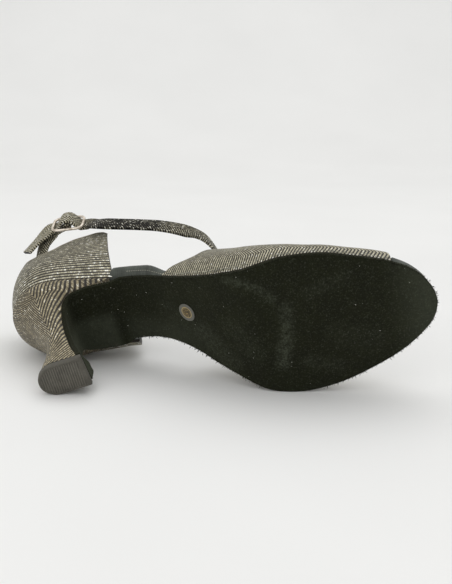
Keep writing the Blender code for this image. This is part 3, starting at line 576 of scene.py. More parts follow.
# %% Lining and rubber
def lining(name, dark, pale, knit=0.7):
    f = Finish(name)
    along, across = f.map_pair("weave")
    waver = f.noise(2.4) - 0.5
    loops = f.math("PINGPONG", along / knit + waver * 0.4, 0.5) * f.math("PINGPONG", across / knit, 0.5) * 4
    cloud = f.noise(7.0, 4.0)
    fine = f.noise(0.4, 3.0)
    share = f.step(cloud, 0.3, 0.75) * 0.5 + loops * 0.3 + (fine - 0.5) * 0.5
    return f.set(Base_Color=f.blend(share, dark, pale), Roughness=0.62 + fine * 0.25,
                 Normal=f.bump(loops * 0.7 + fine * 0.3, 0.10, 0.7), Sheen_Weight=0.08)


def tip_rubber(name, dark, pale):
    f = Finish(name)
    across, _ = f.map_pair("weave")
    inner, _ = f.map_pair("tone")
    groove = f.math("PINGPONG", across / 1.25, 0.5) * 2
    cut = f.step(groove, 0.25, 0.75) * inner
    dust = f.noise(0.6, 4.0, 0.7)
    worn = f.noise(5.0, 4.0)
    share = f.step(dust * 0.55 + worn * 0.45, 0.34, 0.68) * 0.5 + cut * 0.55 - inner * 0.20 + 0.10
    return f.set(Base_Color=f.blend(share, dark, pale), Roughness=0.58 + dust * 0.3,
                 Normal=f.bump(cut * 0.8 + dust * 0.2, 0.22, 0.8))


LINING = lining("lining_knit", paint(46, 50, 44), paint(96, 101, 92))
RIM = lining("lining_folded_edge", paint(38, 34, 29), paint(92, 86, 74), 0.5)
PIPING = lining("lining_piping", paint(104, 98, 84), paint(168, 161, 142), 0.45)
THREAD = lining("lining_thread", paint(118, 117, 104), paint(188, 186, 170), 0.3)
RUBBER = tip_rubber("rubber_tip", paint(54, 51, 44), paint(104, 101, 91))
print("linings", LINING.name, RIM.name, PIPING.name, THREAD.name)


# %% Metal and paper
def plated_wire(name, dull, bright):
    f = Finish(name)
    scratch = f.noise(0.9, 5.0, 0.7)
    tarnish = f.noise(3.5, 3.0)
    colour = f.blend(f.step(tarnish, 0.35, 0.7), bright, dull)
    return f.set(Base_Color=colour, Metallic=0.85, Roughness=0.22 + scratch * 0.25,
                 Normal=f.bump(scratch, 0.03, 0.5))


def printed_disc(name, ring, ink, gold):
    f = Finish(name)
    across, up = f.map_pair("weave")
    out = f.math("SQRT", across * across + up * up)
    turn = f.math("ARCTAN2", up, across)
    petals = f.math("PINGPONG", turn * (8 / math.pi) + out * 0.8, 0.5) * 2
    dots, reach = f.grains(0.55)
    middle = 1 - f.step(out, 2.7, 3.0)
    line = f.step(out, 3.0, 3.15) * (1 - f.step(out, 3.3, 3.5))
    fleck = f.step(petals * 0.5 + dots[0] * 0.7, 0.62, 0.74) * (1 - f.step(reach, 0.25, 0.5))
    colour = f.blend(f.noise(1.2) * 0.5, ring, paint(118, 117, 108))
    colour = f.blend(middle, colour, ink)
    colour = f.blend(f.math("MAXIMUM", middle * fleck, line * 0.8), colour, gold)
    return f.set(Base_Color=colour, Roughness=0.42 + f.noise(0.8) * 0.2, Coat_Weight=0.2,
                 Normal=f.bump(f.noise(0.9), 0.03, 0.5))


METAL = plated_wire("buckle_metal_plated", paint(170, 158, 142), paint(226, 217, 204))
PAPER = printed_disc("paper_printed", paint(88, 88, 80), paint(70, 58, 34), paint(196, 168, 104))
print("metal and paper", METAL.name, PAPER.name)

# %% [markdown]
# ## The sole
# One piece of suede runs from the toe along the arch, folds down at the breast and covers the
# front of the heel. It could be a flat cut-out bent by a modifier, but its edge must stay exact,
# so it is a sheet of rungs: each rung joins an outer edge point to its inner partner, and all lie
# on the curve of the underside.

# %% Underside and edge of the sole
def underside(at, lift=0.0):
    """X and Z of the sole's underside at a share of LENGTH, moved up square to it."""
    def height(place):
        return HEEL_HEIGHT * read(UNDERSIDE, "heel", place) + TOE_SPRING * read(UNDERSIDE, "toe", place)
    low, high = max(at - 0.004, 0.0), min(at + 0.004, 1.0)
    slope = (height(high) - height(low)) / ((high - low) * LENGTH)
    square = Vector((-slope, 1.0)).normalized()
    return at * LENGTH + square.x * lift, height(at) + square.y * lift


def edge_at(at, side):
    """Y of the sole's edge at a share of LENGTH; side is -1 for the outer edge, 1 for the inner."""
    return side * BALL_WIDTH * read(OUTLINE, "outer" if side < 0 else "inner", at)


def sole_rungs(samples, toe_samples):
    """Pairs of outer and inner edge points of the sole in plan, from the seat to the toe."""
    outer = [Vector((at * LENGTH, edge_at(at, -1), 0)) for at in OUTLINE["at"]]
    inner = [Vector((at * LENGTH, edge_at(at, 1), 0)) for at in OUTLINE["at"]]
    tip = Vector((LENGTH, TOE_TIP * BALL_WIDTH, 0))
    fine = 120
    edge = through([*outer, tip, *reversed(inner)], fine)
    last = len(outer) - 1
    picks = [round(n * fine / samples) for n in range(last * samples + 1)]
    picks += [last * fine + round(math.sin(n / (toe_samples + 1) * math.pi / 2) * fine)
              for n in range(1, toe_samples + 1)]
    return [(edge[i], edge[len(edge) - 1 - i]) for i in picks]


rungs = sole_rungs(10, 14)
print("sole", len(rungs), "rungs, widest", round(max((b - a).length for a, b in rungs) / MM, 1), "mm")


# %% [markdown]
# ## The plan of the heel
# Heel, tip, seat and counter share one plan: straight across the front, nearly straight sides and
# a round back. A single function gives it as an open line from one front corner round to the
# other, and every piece there is a stack of such lines at different heights.

# %% Plan and rings of the heel
def heel_plan(back, front, half, front_half):
    """One side of a heel's outline, from its front corner round to the back."""
    length = front - back
    bend = min(half * 1.15, length * 0.8)
    plan = [(front, front_half)]
    plan += [(mix(front, back + bend, share), mix(front_half, half, math.sin(share * math.pi / 2)))
             for share in (0.25, 0.5, 0.75)]
    plan += [(back + bend * (1 - math.cos(angle)), half * math.sin(angle) ** 0.92)
             for angle in np.radians((90, 75, 60, 45, 31, 18, 6))]
    return plan


def heel_line(back, outer_front, inner_front, half, front_half, samples=5):
    """A smooth line in plan from the outer front corner round the back to the inner one."""
    outer = [Vector((x, -y, 0)) for x, y in heel_plan(back, outer_front, half, front_half)]
    inner = [Vector((x, y, 0)) for x, y in heel_plan(back, inner_front, half, front_half)]
    return through(outer + inner[::-1], samples)


def breast_bow(across, along, height):
    """How far the inner side of the breast bows forward, at shares across and along the heel."""
    rise = ease(height / MM, 3, 14) * (1 - ease(height / MM, 22, 42))
    return BREAST_BOW * rise * max(across, 0.0) ** 2 * min(max(along, 0.0), 1.0) ** 3


def heel_ring(back, front, half, front_half, heights, yaw):
    """A closed ring: round the back, then across the front."""
    middle = (front + back) / 2
    line = heel_line(back, front, front, half, front_half)
    line += [line[-1].lerp(line[0], n / 8) for n in range(1, 8)]
    ring = []
    for point in line:
        turned = Matrix.Rotation(yaw, 2) @ Vector((point.x - middle, point.y))
        share = (point.x - back) / (front - back)
        height = mix(heights[0], heights[1], share)
        bow = breast_bow(point.y / front_half, share, height)
        ring.append(Vector((middle + turned.x + bow, HEEL_SIDE + turned.y, height)))
    return ring


def seat_ring(lift_back, lift_front):
    """The ring of the heel block that lies along the seat."""
    half = SEAT_WIDTH / 2
    back = COUNTER["back"][0] * COUNTER_LENGTH
    front = SEAT_FRONT * LENGTH
    seated = []
    for point in heel_ring(back, front, half, SEAT_TAPER * half, (0, 0), 0.0):
        _, z = underside(point.x / LENGTH, mix(lift_back, lift_front, point.x / front))
        seated.append(Vector((point.x, point.y, z)))
    return seated


def heel_rows(samples=8):
    """Back, front, half widths, heights and yaw of each ring below the seat."""
    rows = []
    count = len(HEEL["back"])
    for i in range(count):
        heights = (HEEL["back_height"][i] * HEEL_HEIGHT, HEEL["front_height"][i] * HEEL_HEIGHT)
        rows.append((HEEL["back"][i] * LENGTH, HEEL["front"][i] * LENGTH, HEEL["half"][i] * SEAT_WIDTH,
                     HEEL["front_half"][i] * SEAT_WIDTH, heights, HEEL_YAW * ease(i, 0, count)))
    breast = TIP_FRONT - SOLE_THICKNESS - GAP
    neck_front = breast - 0.16 * TIP_LENGTH
    neck = (neck_front - NECK_LENGTH, neck_front, NECK_WIDTH / 2, NECK_WIDTH * 0.46,
            (NECK_HEIGHT,) * 2, HEEL_YAW)
    tip_back = TIP_FRONT - TIP_LENGTH
    top = TIP_THICKNESS + GAP
    flare = (mix(neck[0], tip_back, 0.38), mix(neck[1], breast, 0.5), mix(neck[2], TIP_WIDTH / 2, 0.3),
             mix(neck[3], TIP_WIDTH * 0.48, 0.3), ((NECK_HEIGHT + top) / 2,) * 2, HEEL_YAW)
    foot = (tip_back + 0.0005, breast, TIP_WIDTH / 2 - 0.0002, TIP_WIDTH * 0.48, (top,) * 2, HEEL_YAW)
    rows += [neck, flare, foot]
    rear = through([(row[0], row[4][0], row[2]) for row in rows], samples)
    front = through([(row[1], row[4][1], row[3]) for row in rows], samples)
    yaws = through([(row[5], 0, 0) for row in rows], samples)
    return [(b.x, f.x, b.z, f.z, (b.y, f.y), yaw.x) for b, f, yaw in zip(rear, front, yaws)]


heel_levels = heel_rows()
print("heel", len(heel_levels), "rings between seat and tip")

# %% [markdown]
# The worn marks of the sole are brush strokes: a start, an end, a width and a strength, in
# millimetres of the plan. Each corner of the sheet asks how near it is to every stroke, and the
# answer goes into the tone map. The waist and the rim of the toe get a wide pale veil in the same
# way; at the rim of the toe the veil is painted sheen.

# %% The suede sheet
STROKES = [
    (126, -30, 134, -28, 2.4, 0.8), (134, -28, 141, -24, 2.2, 0.9), (141, -24, 147, -16, 2.4, 0.7),
    (152, -10, 150, 4, 4.2, 0.75), (150, 4, 145, 22, 4.6, 0.95), (108, 6, 118, 22, 7.0, 0.55),
    (166, -16, 184, -20, 5.0, 0.25), (176, 12, 194, 20, 8.0, 0.20), (92, -4, 104, 4, 7.0, 0.25),
    (158, 24, 174, 31, 4.0, 0.35), (124, 0, 132, 14, 7.0, 0.25),
]


def stroke_share(x, y):
    """How strongly the nap is rubbed at a place of the plan, in millimetres."""
    share = 0.0
    for x0, y0, x1, y1, width, strength in STROKES:
        way = Vector((x1 - x0, y1 - y0))
        t = min(max(Vector((x - x0, y - y0)).dot(way) / way.length_squared, 0.0), 1.0)
        apart = (Vector((x0, y0)) + way * t - Vector((x, y))).length
        share = max(share, strength * (1 - ease(apart, width * 0.3, width * 1.3)))
    return share


def sole_sheet(columns=30):
    """Rows of the visible face of the suede, from the toe to the foot of the heel's breast."""
    shares = [n / columns for n in range(columns + 1)]
    rows = []
    for outer, inner in reversed(rungs):
        if outer.x > SEAT_FRONT * LENGTH + 0.004:
            row = []
            for share in shares:
                place = outer.lerp(inner, share)
                x, z = underside(place.x / LENGTH)
                row.append(Vector((x, place.y, z)))
            rows.append(row)
    back = SOLE_THICKNESS + GAP
    lip_x, lip_z = underside(SEAT_FRONT, SOLE_THICKNESS - LIP - back)
    half = FLAP_SHARE * SEAT_TAPER * SEAT_WIDTH / 2
    fold = [[Vector((lip_x, HEEL_SIDE + half * (2 * share - 1), lip_z)) for share in shares]]
    fronts = []
    for rear, front, _, front_half, heights, yaw in heel_levels:
        middle = (front + rear) / 2
        centre = Matrix.Rotation(yaw, 2) @ Vector((front - middle, 0))
        side = Matrix.Rotation(yaw, 2) @ Vector((0, front_half))
        point = Vector((middle + centre.x, HEEL_SIDE + centre.y, heights[1]))
        fronts.append((point, Vector((side.x, side.y, 0))))
    for i, (point, across) in enumerate(fronts):
        before = fronts[i - 1][0] if i else Vector((lip_x, HEEL_SIDE, lip_z + back))
        after = fronts[min(i + 1, len(fronts) - 1)][0]
        square = across.cross(after - before).normalized()
        outer = point - square * back
        outer.z = max(outer.z, TIP_THICKNESS + GAP)
        bows = [breast_bow(2 * share - 1, 1.0, outer.z) for share in shares]
        fold.append([outer + across * (2 * share - 1) + Vector((bow, 0, 0))
                     for share, bow in zip(shares, bows)])
    corner = [through([rows[-2][c], rows[-1][c], fold[0][c], fold[1][c], fold[2][c]], 6)[6:19]
              for c in range(columns + 1)]
    return rows[:-1] + [list(row) for row in zip(*corner)] + fold[2:]


sole_face = sole_sheet()
plan_pairs = []
wear_and_sheen_pairs = []
for row in sole_face:
    plan_pairs.append([(p.x / MM, p.y / MM) for p in row])
    pairs = []
    for point in row:
        x, y = point.x / MM, point.y / MM
        # Pale veil: the flap and the waist are paler, and along the rim of the toe the veil is painted
        # sheen.
        flap = 1 - ease(x, 56, 62)
        toe_rim_sheen = ease(x, 200, 228) * 0.7
        waist = ease(x, 60, 70) * (1 - ease(x, 90, 116)) * ease(y, -4, 12) * 0.35
        pairs.append((stroke_share(x, y), max(toe_rim_sheen * 0.7, waist, flap * ease(y, -5, 4) * 0.55)))
    wear_and_sheen_pairs.append(pairs)
sole_mesh = sheet_mesh("suede_sole", sole_face, Vector((0.12, 0, 1.0)), plan_pairs, wear_and_sheen_pairs)
sole = stand("suede_sole", sole_mesh, SUEDE, SUEDE, CUT_SUEDE)
add_wall(sole, SOLE_THICKNESS, 0.5 * MM)
hand_over(sole, "outsole")

# %% [markdown]
# ## The insole
# Between sole and foot lies a padded board, wrapped in lining. Its side shows at the waist and
# round the open toe as a soft grey roll. It is a loft: one closed section with a rounded side,
# repeated at every rung and narrowed where the upper covers it.

# %% Padded insole
HEEL_PART = 0.0590


def insole_edges():
    """Pairs of edge points of the insole's underside in plan, with the ledge past each."""
    inset = UPPER_WALL + GAP
    back = COUNTER["back"][0] * COUNTER_LENGTH + inset
    half = SEAT_WIDTH / 2 - inset
    front_half = SEAT_TAPER * SEAT_WIDTH / 2 - inset
    fronts = (COUNTER_LENGTH + GAP, COUNTER_LENGTH + GAP + COUNTER_INNER)
    line = heel_line(back, *fronts, half, front_half)
    pairs = zip(line[len(line) // 2 - 1::-1], line[(len(line) + 1) // 2:])
    edges = [((a.x, HEEL_SIDE + a.y), (b.x, HEEL_SIDE + b.y), 0.0, 0.0) for a, b in pairs if a.x < HEEL_PART]
    step = 0.0008
    for ahead, share in ((-5.0, 0.3), (-3.2, 0.7), (-1.6, 1.0), (1.3, 1.0)):
        ends = [(front + step * ahead, edge_at((front + step * ahead) / LENGTH, side))
                for front, side in zip(fronts, (-1, 1))]
        edges.append((*ends, -INSOLE_LEDGE * share, INSOLE_LEDGE * share))
    for outer, inner in sole_rungs(10, 10):
        if outer.x < fronts[1] + 2 * step:
            continue
        ends = []
        for point, turn in ((outer, -1.0), (inner, 1.0)):
            rear = read(VAMP_EDGE, "rear", turn, "turn") * LENGTH
            toe = read(VAMP_EDGE, "front", turn, "turn") * LENGTH
            open_waist = 1 - ease(point.x, rear - 0.009, rear + 0.001)
            open_toe = ease(point.x, toe - 0.001, toe + 0.002)
            covered = ease(point.x, rear + 0.0005, rear + 0.004) * (1 - open_toe)
            room = UPPER_WALL + 3 * GAP
            ends.append(((point.x, point.y - turn * room * covered),
                         turn * INSOLE_LEDGE * (open_waist + 0.16 * open_toe)))
        edges.append((ends[0][0], ends[1][0], ends[0][1], ends[1][1]))
    return edges


SIDE = [
    (0.0, 0.0, 0.0), (0.45, 0.0, 0.16), (0.80, 0.0, 0.34), (1.0, 0.0, 0.54),
    (1.0, 0.22, 0.74), (1.0, 0.55, 0.90), (1.0, 1.1, 0.98), (1.0, 2.4, 1.0),
]


def insole_ring(outer, inner, out_ledge, in_ledge):
    """Section of the insole: along the bottom, up the rounded inner side, back over the top and down."""
    low = SOLE_THICKNESS + GAP
    section = [(mix(outer[1], inner[1], n / 6), 0.0) for n in range(6)]
    section += [(inner[1] + in_ledge * out - INSOLE_ROUND * back, level) for out, back, level in SIDE]
    far = [(outer[1] + out_ledge * out + INSOLE_ROUND * back, level)
           for out, back, level in reversed(SIDE[1:])]
    near = section[-1]
    section += [(mix(near[0], far[0][0], n / 8), 1.0) for n in range(1, 8)]
    section += far
    ring = []
    for y, level in section:
        share = min(max((y - outer[1]) / (inner[1] - outer[1]), 0.0), 1.0)
        x, z = underside(mix(outer[0], inner[0], share) / LENGTH, low + level * INSOLE_THICKNESS)
        ring.append(Vector((x, y, z)))
    return ring


edges = insole_edges()
insole_rings = [insole_ring(*edge) for edge in edges]
insole_weave = []
for ring in insole_rings:
    walked = lengths_along(ring + ring[:1])
    insole_weave.append([((ring[0].x + ring[0].z) / MM, distance) for distance in walked])
insole_mesh = sheet_mesh("padded_insole", insole_rings, Vector((0.1, 0, 0.03)), insole_weave,
                         closed=True, caps=True)
insole = stand("padded_insole", insole_mesh, LINING)
hand_over(insole, "insole")

# %% [markdown]
# ## The covered heel and its tip
# The heel is a wooden or plastic block with the upper's cloth pulled round it. The ribs run down
# at a slant on one side and up on the other, so they meet in a V along a line near the back. That
# line costs nothing in geometry: the rib number of each corner is the way climbed up the heel,
# less a share of the distance walked from the line, and the material does the rest. The share is
# larger behind the line, so the ribs are steeper there.

# %% Covered heel
# The V runs down the column of the ring's seventh point, and there are five samples to a point.
V_LINE = 6 * 5
FRONT_SLOPE = 1.35
BACK_SLOPE = 2.9
RIB = 3.3


def heel_maps(rings):
    """Weave and tone of each corner of the heel."""
    weave, tone = [], []
    columns = [lengths_along([ring[n] for ring in rings[::-1]])[::-1] for n in range(len(rings[0]))]
    columns.append(columns[0])
    for r, ring in enumerate(rings):
        walked = lengths_along(ring + ring[:1])
        away = [abs(distance - walked[V_LINE]) for distance in walked]
        falls = [s * (FRONT_SLOPE if n < V_LINE else BACK_SLOPE) for n, s in enumerate(away)]
        climbs = [mix(columns[V_LINE][r], column[r], 0.35) for column in columns]
        weave.append([(up * 0.6 + s * 0.8, (up - fall) / RIB) for up, s, fall in zip(climbs, away, falls)])
        down = 1 - ring[V_LINE].z / HEEL_HEIGHT
        tone.append([(0.50 + 0.12 * down - 0.1 * ease(s, 14, 30), 0.40 - 0.20 * down) for s in away])
    return weave, tone


heel_rings = [seat_ring(SOLE_THICKNESS, SOLE_THICKNESS),
              seat_ring(SOLE_THICKNESS - 2 * LIP, SOLE_THICKNESS - LIP)]
heel_rings += [heel_ring(*row) for row in heel_levels]
heel_mesh = sheet_mesh("covered_heel", heel_rings, Vector((0.03, 0, 0.04)), *heel_maps(heel_rings),
                       closed=True, caps=True)
heel = stand("covered_heel", heel_mesh, HEEL_CLOTH)
hand_over(heel, "heel_block")

# %% Rubber tip
TIP_PROFILE = [
    (0.97, 1.0, 0), (1.0, 0.90, 0), (1.0, 0.5, 0), (1.0, 0.22, 0), (0.99, 0.09, 0), (0.965, 0.02, 0),
    (0.93, 0.0, 0), (0.87, 0.0, 0), (0.85, 0.05, 0.2), (0.83, 0.03, 1), (0.6, 0.03, 1), (0.3, 0.03, 1),
    (0.05, 0.03, 1),
]
tip_plan = heel_ring(TIP_FRONT - TIP_LENGTH, TIP_FRONT, TIP_WIDTH / 2, TIP_WIDTH / 2, (0, 0), HEEL_YAW)
tip_middle = sum(tip_plan, Vector()) / len(tip_plan)
tip_rings = []
tip_weave = []
tip_tone = []
for scale, level, inner in TIP_PROFILE:
    ring = [tip_middle + (p - tip_middle) * scale + Vector((0, 0, level * TIP_THICKNESS)) for p in tip_plan]
    tip_rings.append(ring)
    tip_weave.append([(p.x / MM, p.y / MM) for p in ring + ring[:1]])
    tip_tone.append([(inner, 0.0)] * (len(ring) + 1))
tip_mesh = sheet_mesh("heel_rubber", tip_rings, tip_middle, tip_weave, tip_tone, closed=True, caps=True)
heel_rubber = stand("heel_rubber", tip_mesh, RUBBER)
hand_over(heel_rubber, "heel_tip")

# %% [markdown]
# ## The counter
# The counter is the closed back of the upper: one piece of stiffened cloth that stands on the
# seat, leans out over it and is cut straight in front. It is a sheet whose rows rise from the seat
# to the top line, so its ribs are easy: the distance walked up the wall, divided by the pitch,
# counts them, and they stay parallel to the seat.

# %% Counter
COUNTER_RIB = 1.85
FLOOR_GAP = 0.0004


def counter_line(level, depth=0.0, samples=5):
    """The counter's outline at one level, from the outer front edge round the back to the inner one."""
    back = read(COUNTER, "back", level, "level") * COUNTER_LENGTH + depth
    swell = (COUNTER_WIDTH - SEAT_WIDTH) / 2
    half = SEAT_WIDTH / 2 + swell * read(COUNTER, "swell", level, "level") - depth
    front_half = SEAT_TAPER * SEAT_WIDTH / 2 + swell * read(COUNTER, "front_swell", level, "level") - depth
    front = COUNTER_LENGTH - COUNTER_LEAN * level
    line = []
    for point in heel_line(back, front, front + COUNTER_INNER, half, front_half, samples):
        low = underside(point.x / LENGTH, SOLE_THICKNESS + GAP)[1]
        reach = front + (COUNTER_INNER if point.y > 0 else 0.0)
        high = HEEL_HEIGHT + SOLE_THICKNESS + COUNTER_HEIGHT * read(TOP_LINE, "height", point.x / reach)
        bulge = INNER_BULGE * ease(point.y, 0.0, half * 0.8) * ease(level, 0.0, 0.13)
        bulge *= 1 - ease(level, 0.3, 0.6)
        spot = Vector((point.x, HEEL_SIDE + point.y, mix(low, high, level)))
        room = (LAID @ spot).z / -LAID[2][1] - FLOOR_GAP
        line.append(spot + Vector((0, max(min(bulge, room), 0.0), 0)))
    return line


def counter_point(place, level, depth=0.0):
    """A point of the counter: place runs from -1 at the outer front edge round the back to 1."""
    line = counter_line(level, depth)
    spot = (place + 1) / 2 * (len(line) - 1)
    i = min(int(spot), len(line) - 2)
    return line[i].lerp(line[i + 1], spot - i)


def counter_square(place, level):
    """Direction out of the counter."""
    along = counter_point(place + 0.02, level) - counter_point(place - 0.02, level)
    up = counter_point(place, level + 0.02) - counter_point(place, level - 0.02)
    return up.cross(along).normalized()


counter_rows = [counter_line(level / 30, samples=6) for level in range(31)]
columns = [lengths_along([row[c] for row in counter_rows]) for c in range(len(counter_rows[0]))]
around = lengths_along(counter_rows[12])
counter_weave, counter_tone = [], []
for r, row in enumerate(counter_rows):
    counter_weave.append([(around[c], columns[c][r] / COUNTER_RIB) for c in range(len(row))])
    tone = []
    for c, point in enumerate(row):
        # Painted light: along the seat the counter is lighter and more glittery, standing in for light
        # thrown up from the floor.
        low_edge_painted_light = 1 - ease(columns[c][r], 1.5, 9)
        front = ease(point.x / MM, 44, 60)
        tone.append((0.52 + 0.12 * low_edge_painted_light + 0.08 * front, 0.34 + 0.24 * low_edge_painted_light + 0.16 * front))
    counter_tone.append(tone)
counter_mesh = sheet_mesh("counter_shell", counter_rows, Vector((0.03, 0, 0.09)),
                          counter_weave, counter_tone)
counter = stand("counter_shell", counter_mesh, CLOTH, LINING, RIM)
add_wall(counter, UPPER_WALL, 0.4 * MM)
hand_over(counter, "upper_counter")

# %% [markdown]
# The top line is bound: a narrow strip of plain satin is rolled over the raw edge. A roll is a
# tube that follows a path, so the next helper builds a tube from a path and a radius and keeps the
# length along it for the weave.

# %% Tubes and the rolled top line
def tube_mesh(name, path, radius, sides, closed=False, up=(0.13, 0.21, 0.97)):
    """A round tube along a path; up is any direction that the path never takes."""
    count = len(path)
    rings, weave = [], []
    walked = lengths_along(path + path[:1] if closed else path)
    for i, point in enumerate(path):
        after = path[(i + 1) % count] if closed else path[min(i + 1, count - 1)]
        before = path[i - 1] if closed or i else path[0]
        ahead = (after - before).normalized()
        side = ahead.cross(Vector(up)).normalized()
        up_here = side.cross(ahead).normalized()
        tip = 1.0
        if not closed:
            tip = min(1.0, 0.35 + 0.65 * min(i, count - 1 - i) / 2)
        ring = []
        for n in range(sides):
            angle = 2 * math.pi * n / sides
            ring.append(point + (side * math.cos(angle) + up_here * math.sin(angle)) * radius * tip)
        rings.append(ring)
        weave.append([(walked[i], n * 2 * math.pi * radius / MM / sides) for n in range(sides + 1)])
    if closed:
        rings.append(rings[0])
        weave.append([(walked[count], pair[1]) for pair in weave[0]])
    mesh = sheet_mesh(name, rings, path[0], weave, closed=True, caps=not closed)
    if closed:
        shape = bmesh.new()
        shape.from_mesh(mesh)
        bmesh.ops.remove_doubles(shape, verts=shape.verts, dist=1e-7)
        bmesh.ops.recalc_face_normals(shape, faces=shape.faces)
        shape.to_mesh(mesh)
        shape.free()
    return mesh


ROLL_RADIUS = 1.25 * MM
top_path = []
for c, point in enumerate(counter_rows[-1]):
    upward = (point - counter_rows[-2][c]).normalized()
    place = -1 + 2 * c / (len(counter_rows[-1]) - 1)
    square = counter_square(min(max(place, -0.97), 0.97), 0.96)
    top_path.append(point - square * UPPER_WALL / 2 + upward * 0.0001)
roll = stand("topline_roll", tube_mesh("topline_roll", top_path, ROLL_RADIUS, 12), PIPING)
hand_over(roll)

# %% [markdown]
# ## The vamp
# The vamp covers the ball and the instep and leaves the toes open. Its cloth is laid so that the
# ribs of the side meet in arrows that point at the toe. The rib number is the way along the shoe.
# It slants down with the height as far as the line of arrow heads, and up again above it; that
# line sinks from the throat to the edge of the sole, and the pitch grows towards the toe.

# %% Vamp
ARROWS = table("at height pitch lean", [
    (0.39, 30.0, 1.12, 0.50), (0.47, 22.0, 1.14, 0.50), (0.53, 12.0, 1.20, 0.52),
    (0.60, 7.5, 1.42, 0.55), (0.78, 5.8, 1.70, 0.55), (0.93, 5.0, 1.80, 0.55),
])


def vamp_point(at, turn):
    """A point of the vamp: turn runs from -1 at the outer edge of the sole over the ridge to 1."""
    side = "outer" if turn < 0 else "inner"
    edge = BALL_WIDTH * read(OUTLINE, side, at)
    swell = VAMP_BULGE * read(VAMP, side, at)
    widest = INSTEP_HEIGHT * read(VAMP, "widest", at)
    ridge = INSTEP_HEIGHT * read(VAMP, "ridge", at)
    ridge_side = BALL_WIDTH * read(VAMP, "ridge_side", at)
    share = abs(turn)
    if share > 1 - VAMP_FOOT:
        rise = (1 - share) / VAMP_FOOT
        y = math.copysign(edge + swell * math.sin(rise * math.pi / 2), turn)
        height = widest * rise
    else:
        angle = share / (1 - VAMP_FOOT) * math.pi / 2
        y = ridge_side + (math.copysign(edge + swell, turn) - ridge_side) * math.sin(angle) ** 1.15
        height = widest + (ridge - widest) * max(math.cos(angle), 0.0) ** 1.22
    x, low = underside(at, SOLE_THICKNESS + GAP)
    return Vector((x, y, low + height))


def vamp_square(at, turn):
    """Direction out of the vamp."""
    along = vamp_point(at + 0.01, turn) - vamp_point(at - 0.01, turn)
    across = vamp_point(at, turn + 0.01) - vamp_point(at, turn - 0.01)
    return along.cross(across).normalized()


pitch_steps = [mix(0.38, 0.94, n / 200) for n in range(201)]
counted = [0.0]
for low, high in zip(pitch_steps, pitch_steps[1:]):
    counted.append(counted[-1] + (high - low) * LENGTH / MM / read(ARROWS, "pitch", (low + high) / 2))
vamp_rows, vamp_weave, vamp_tone = [], [], []
TURNS = [1 - n / 60 for n in range(121)]
for n in range(85):
    row, places = [], []
    for turn in TURNS:
        rear = read(VAMP_EDGE, "rear", turn, "turn")
        front = read(VAMP_EDGE, "front", turn, "turn")
        places.append(mix(rear, front, n / 84))
        row.append(vamp_point(places[-1], turn))
    walked = lengths_along(row)
    weave, tone = [], []
    for at, distance in zip(places, walked):
        height = min(distance, walked[-1] - distance)
        line = read(ARROWS, "height", at)
        slant = read(ARROWS, "lean", at) / read(ARROWS, "pitch", at)
        rib = float(np.interp(at, pitch_steps, counted)) - slant * (height - 2 * max(height - line, 0.0))
        weave.append((height * 1.2, rib))
        fore = ease(at, 0.50, 0.62)
        light = mix(0.68, 0.76, fore)
        tone.append((light, 0.22 + 0.12 * fore + 0.35 * (1 - ease(height, 0.3, 2.2))))
    vamp_rows.append(row)
    vamp_weave.append(weave)
    vamp_tone.append(tone)
vamp_mesh = sheet_mesh("vamp_shell", vamp_rows, Vector((0.14, 0.005, 0.015)), vamp_weave, vamp_tone)
vamp = stand("vamp_shell", vamp_mesh, CLOTH, LINING, RIM)
add_wall(vamp, UPPER_WALL, 0.4 * MM)
hand_over(vamp, "upper_vamp")

# %% [markdown]
# ## Strap, tab and buckle
# The strap leaves the throat of the vamp, crosses the instep, passes through the buckle over its
# middle bar and ends in a free tail. A short tab, sewn inside the counter, folds round the same
# bar and holds it. Both are bands: rows of a middle point, the way the face looks and a width. The
# buckle itself is bent wire, a tube along a closed path, so its corners are as round as a pair of
# pliers makes them.

# %% Bands
def finer(path, samples=3):
    """A path of middle point, facing and width with more rows."""
    points = through([row[0] for row in path], samples)
    rows = []
    for i, point in enumerate(points):
        low = min(i // samples, len(path) - 2)
        share = i / samples - low
        (_, facing, width), (_, next_facing, next_width) = path[low], path[low + 1]
        rows.append((point, facing.lerp(next_facing, share), mix(width, next_width, share)))
    return rows


BAND_SECTION = [
    (-0.470, 0.5, 0), (-0.30, 0.54, 0), (-0.15, 0.56, 0), (0.0, 0.57, 0), (0.15, 0.56, 0),
    (0.30, 0.54, 0), (0.470, 0.5, 2), (0.495, 0.2, 2), (0.495, -0.2, 2), (0.470, -0.5, 1),
    (0.2, -0.5, 1), (-0.2, -0.5, 1), (-0.470, -0.5, 2), (-0.495, -0.2, 2), (-0.495, 0.2, 2),
]


def band_mesh(name, path, thickness, tone, inside):
    """A closed band with rounded edges; tone gives lightness and glitter at each row."""
    walked = lengths_along([row[0] for row in path])
    rings, weave, tones = [], [], []
    for i, (middle, square, width) in enumerate(path):
        along = (path[min(i + 1, len(path) - 1)][0] - path[max(i - 1, 0)][0]).normalized()
        across = along.cross(square).normalized()
        out = across.cross(along).normalized()
        rings.append([middle + across * width * a + out * thickness * o for a, o, _ in BAND_SECTION])
        offs = [width / MM * a for a, _, _ in BAND_SECTION + BAND_SECTION[:1]]
        weave.append([(off * 1.3, (walked[i] + 0.9 * abs(off)) / 1.6) for off in offs])
        tones.append([tone(middle)] * len(offs))
    finishes = [index for _, _, index in BAND_SECTION]
    return sheet_mesh(name, rings, inside, weave, tones, closed=True, caps=True, finishes=finishes)


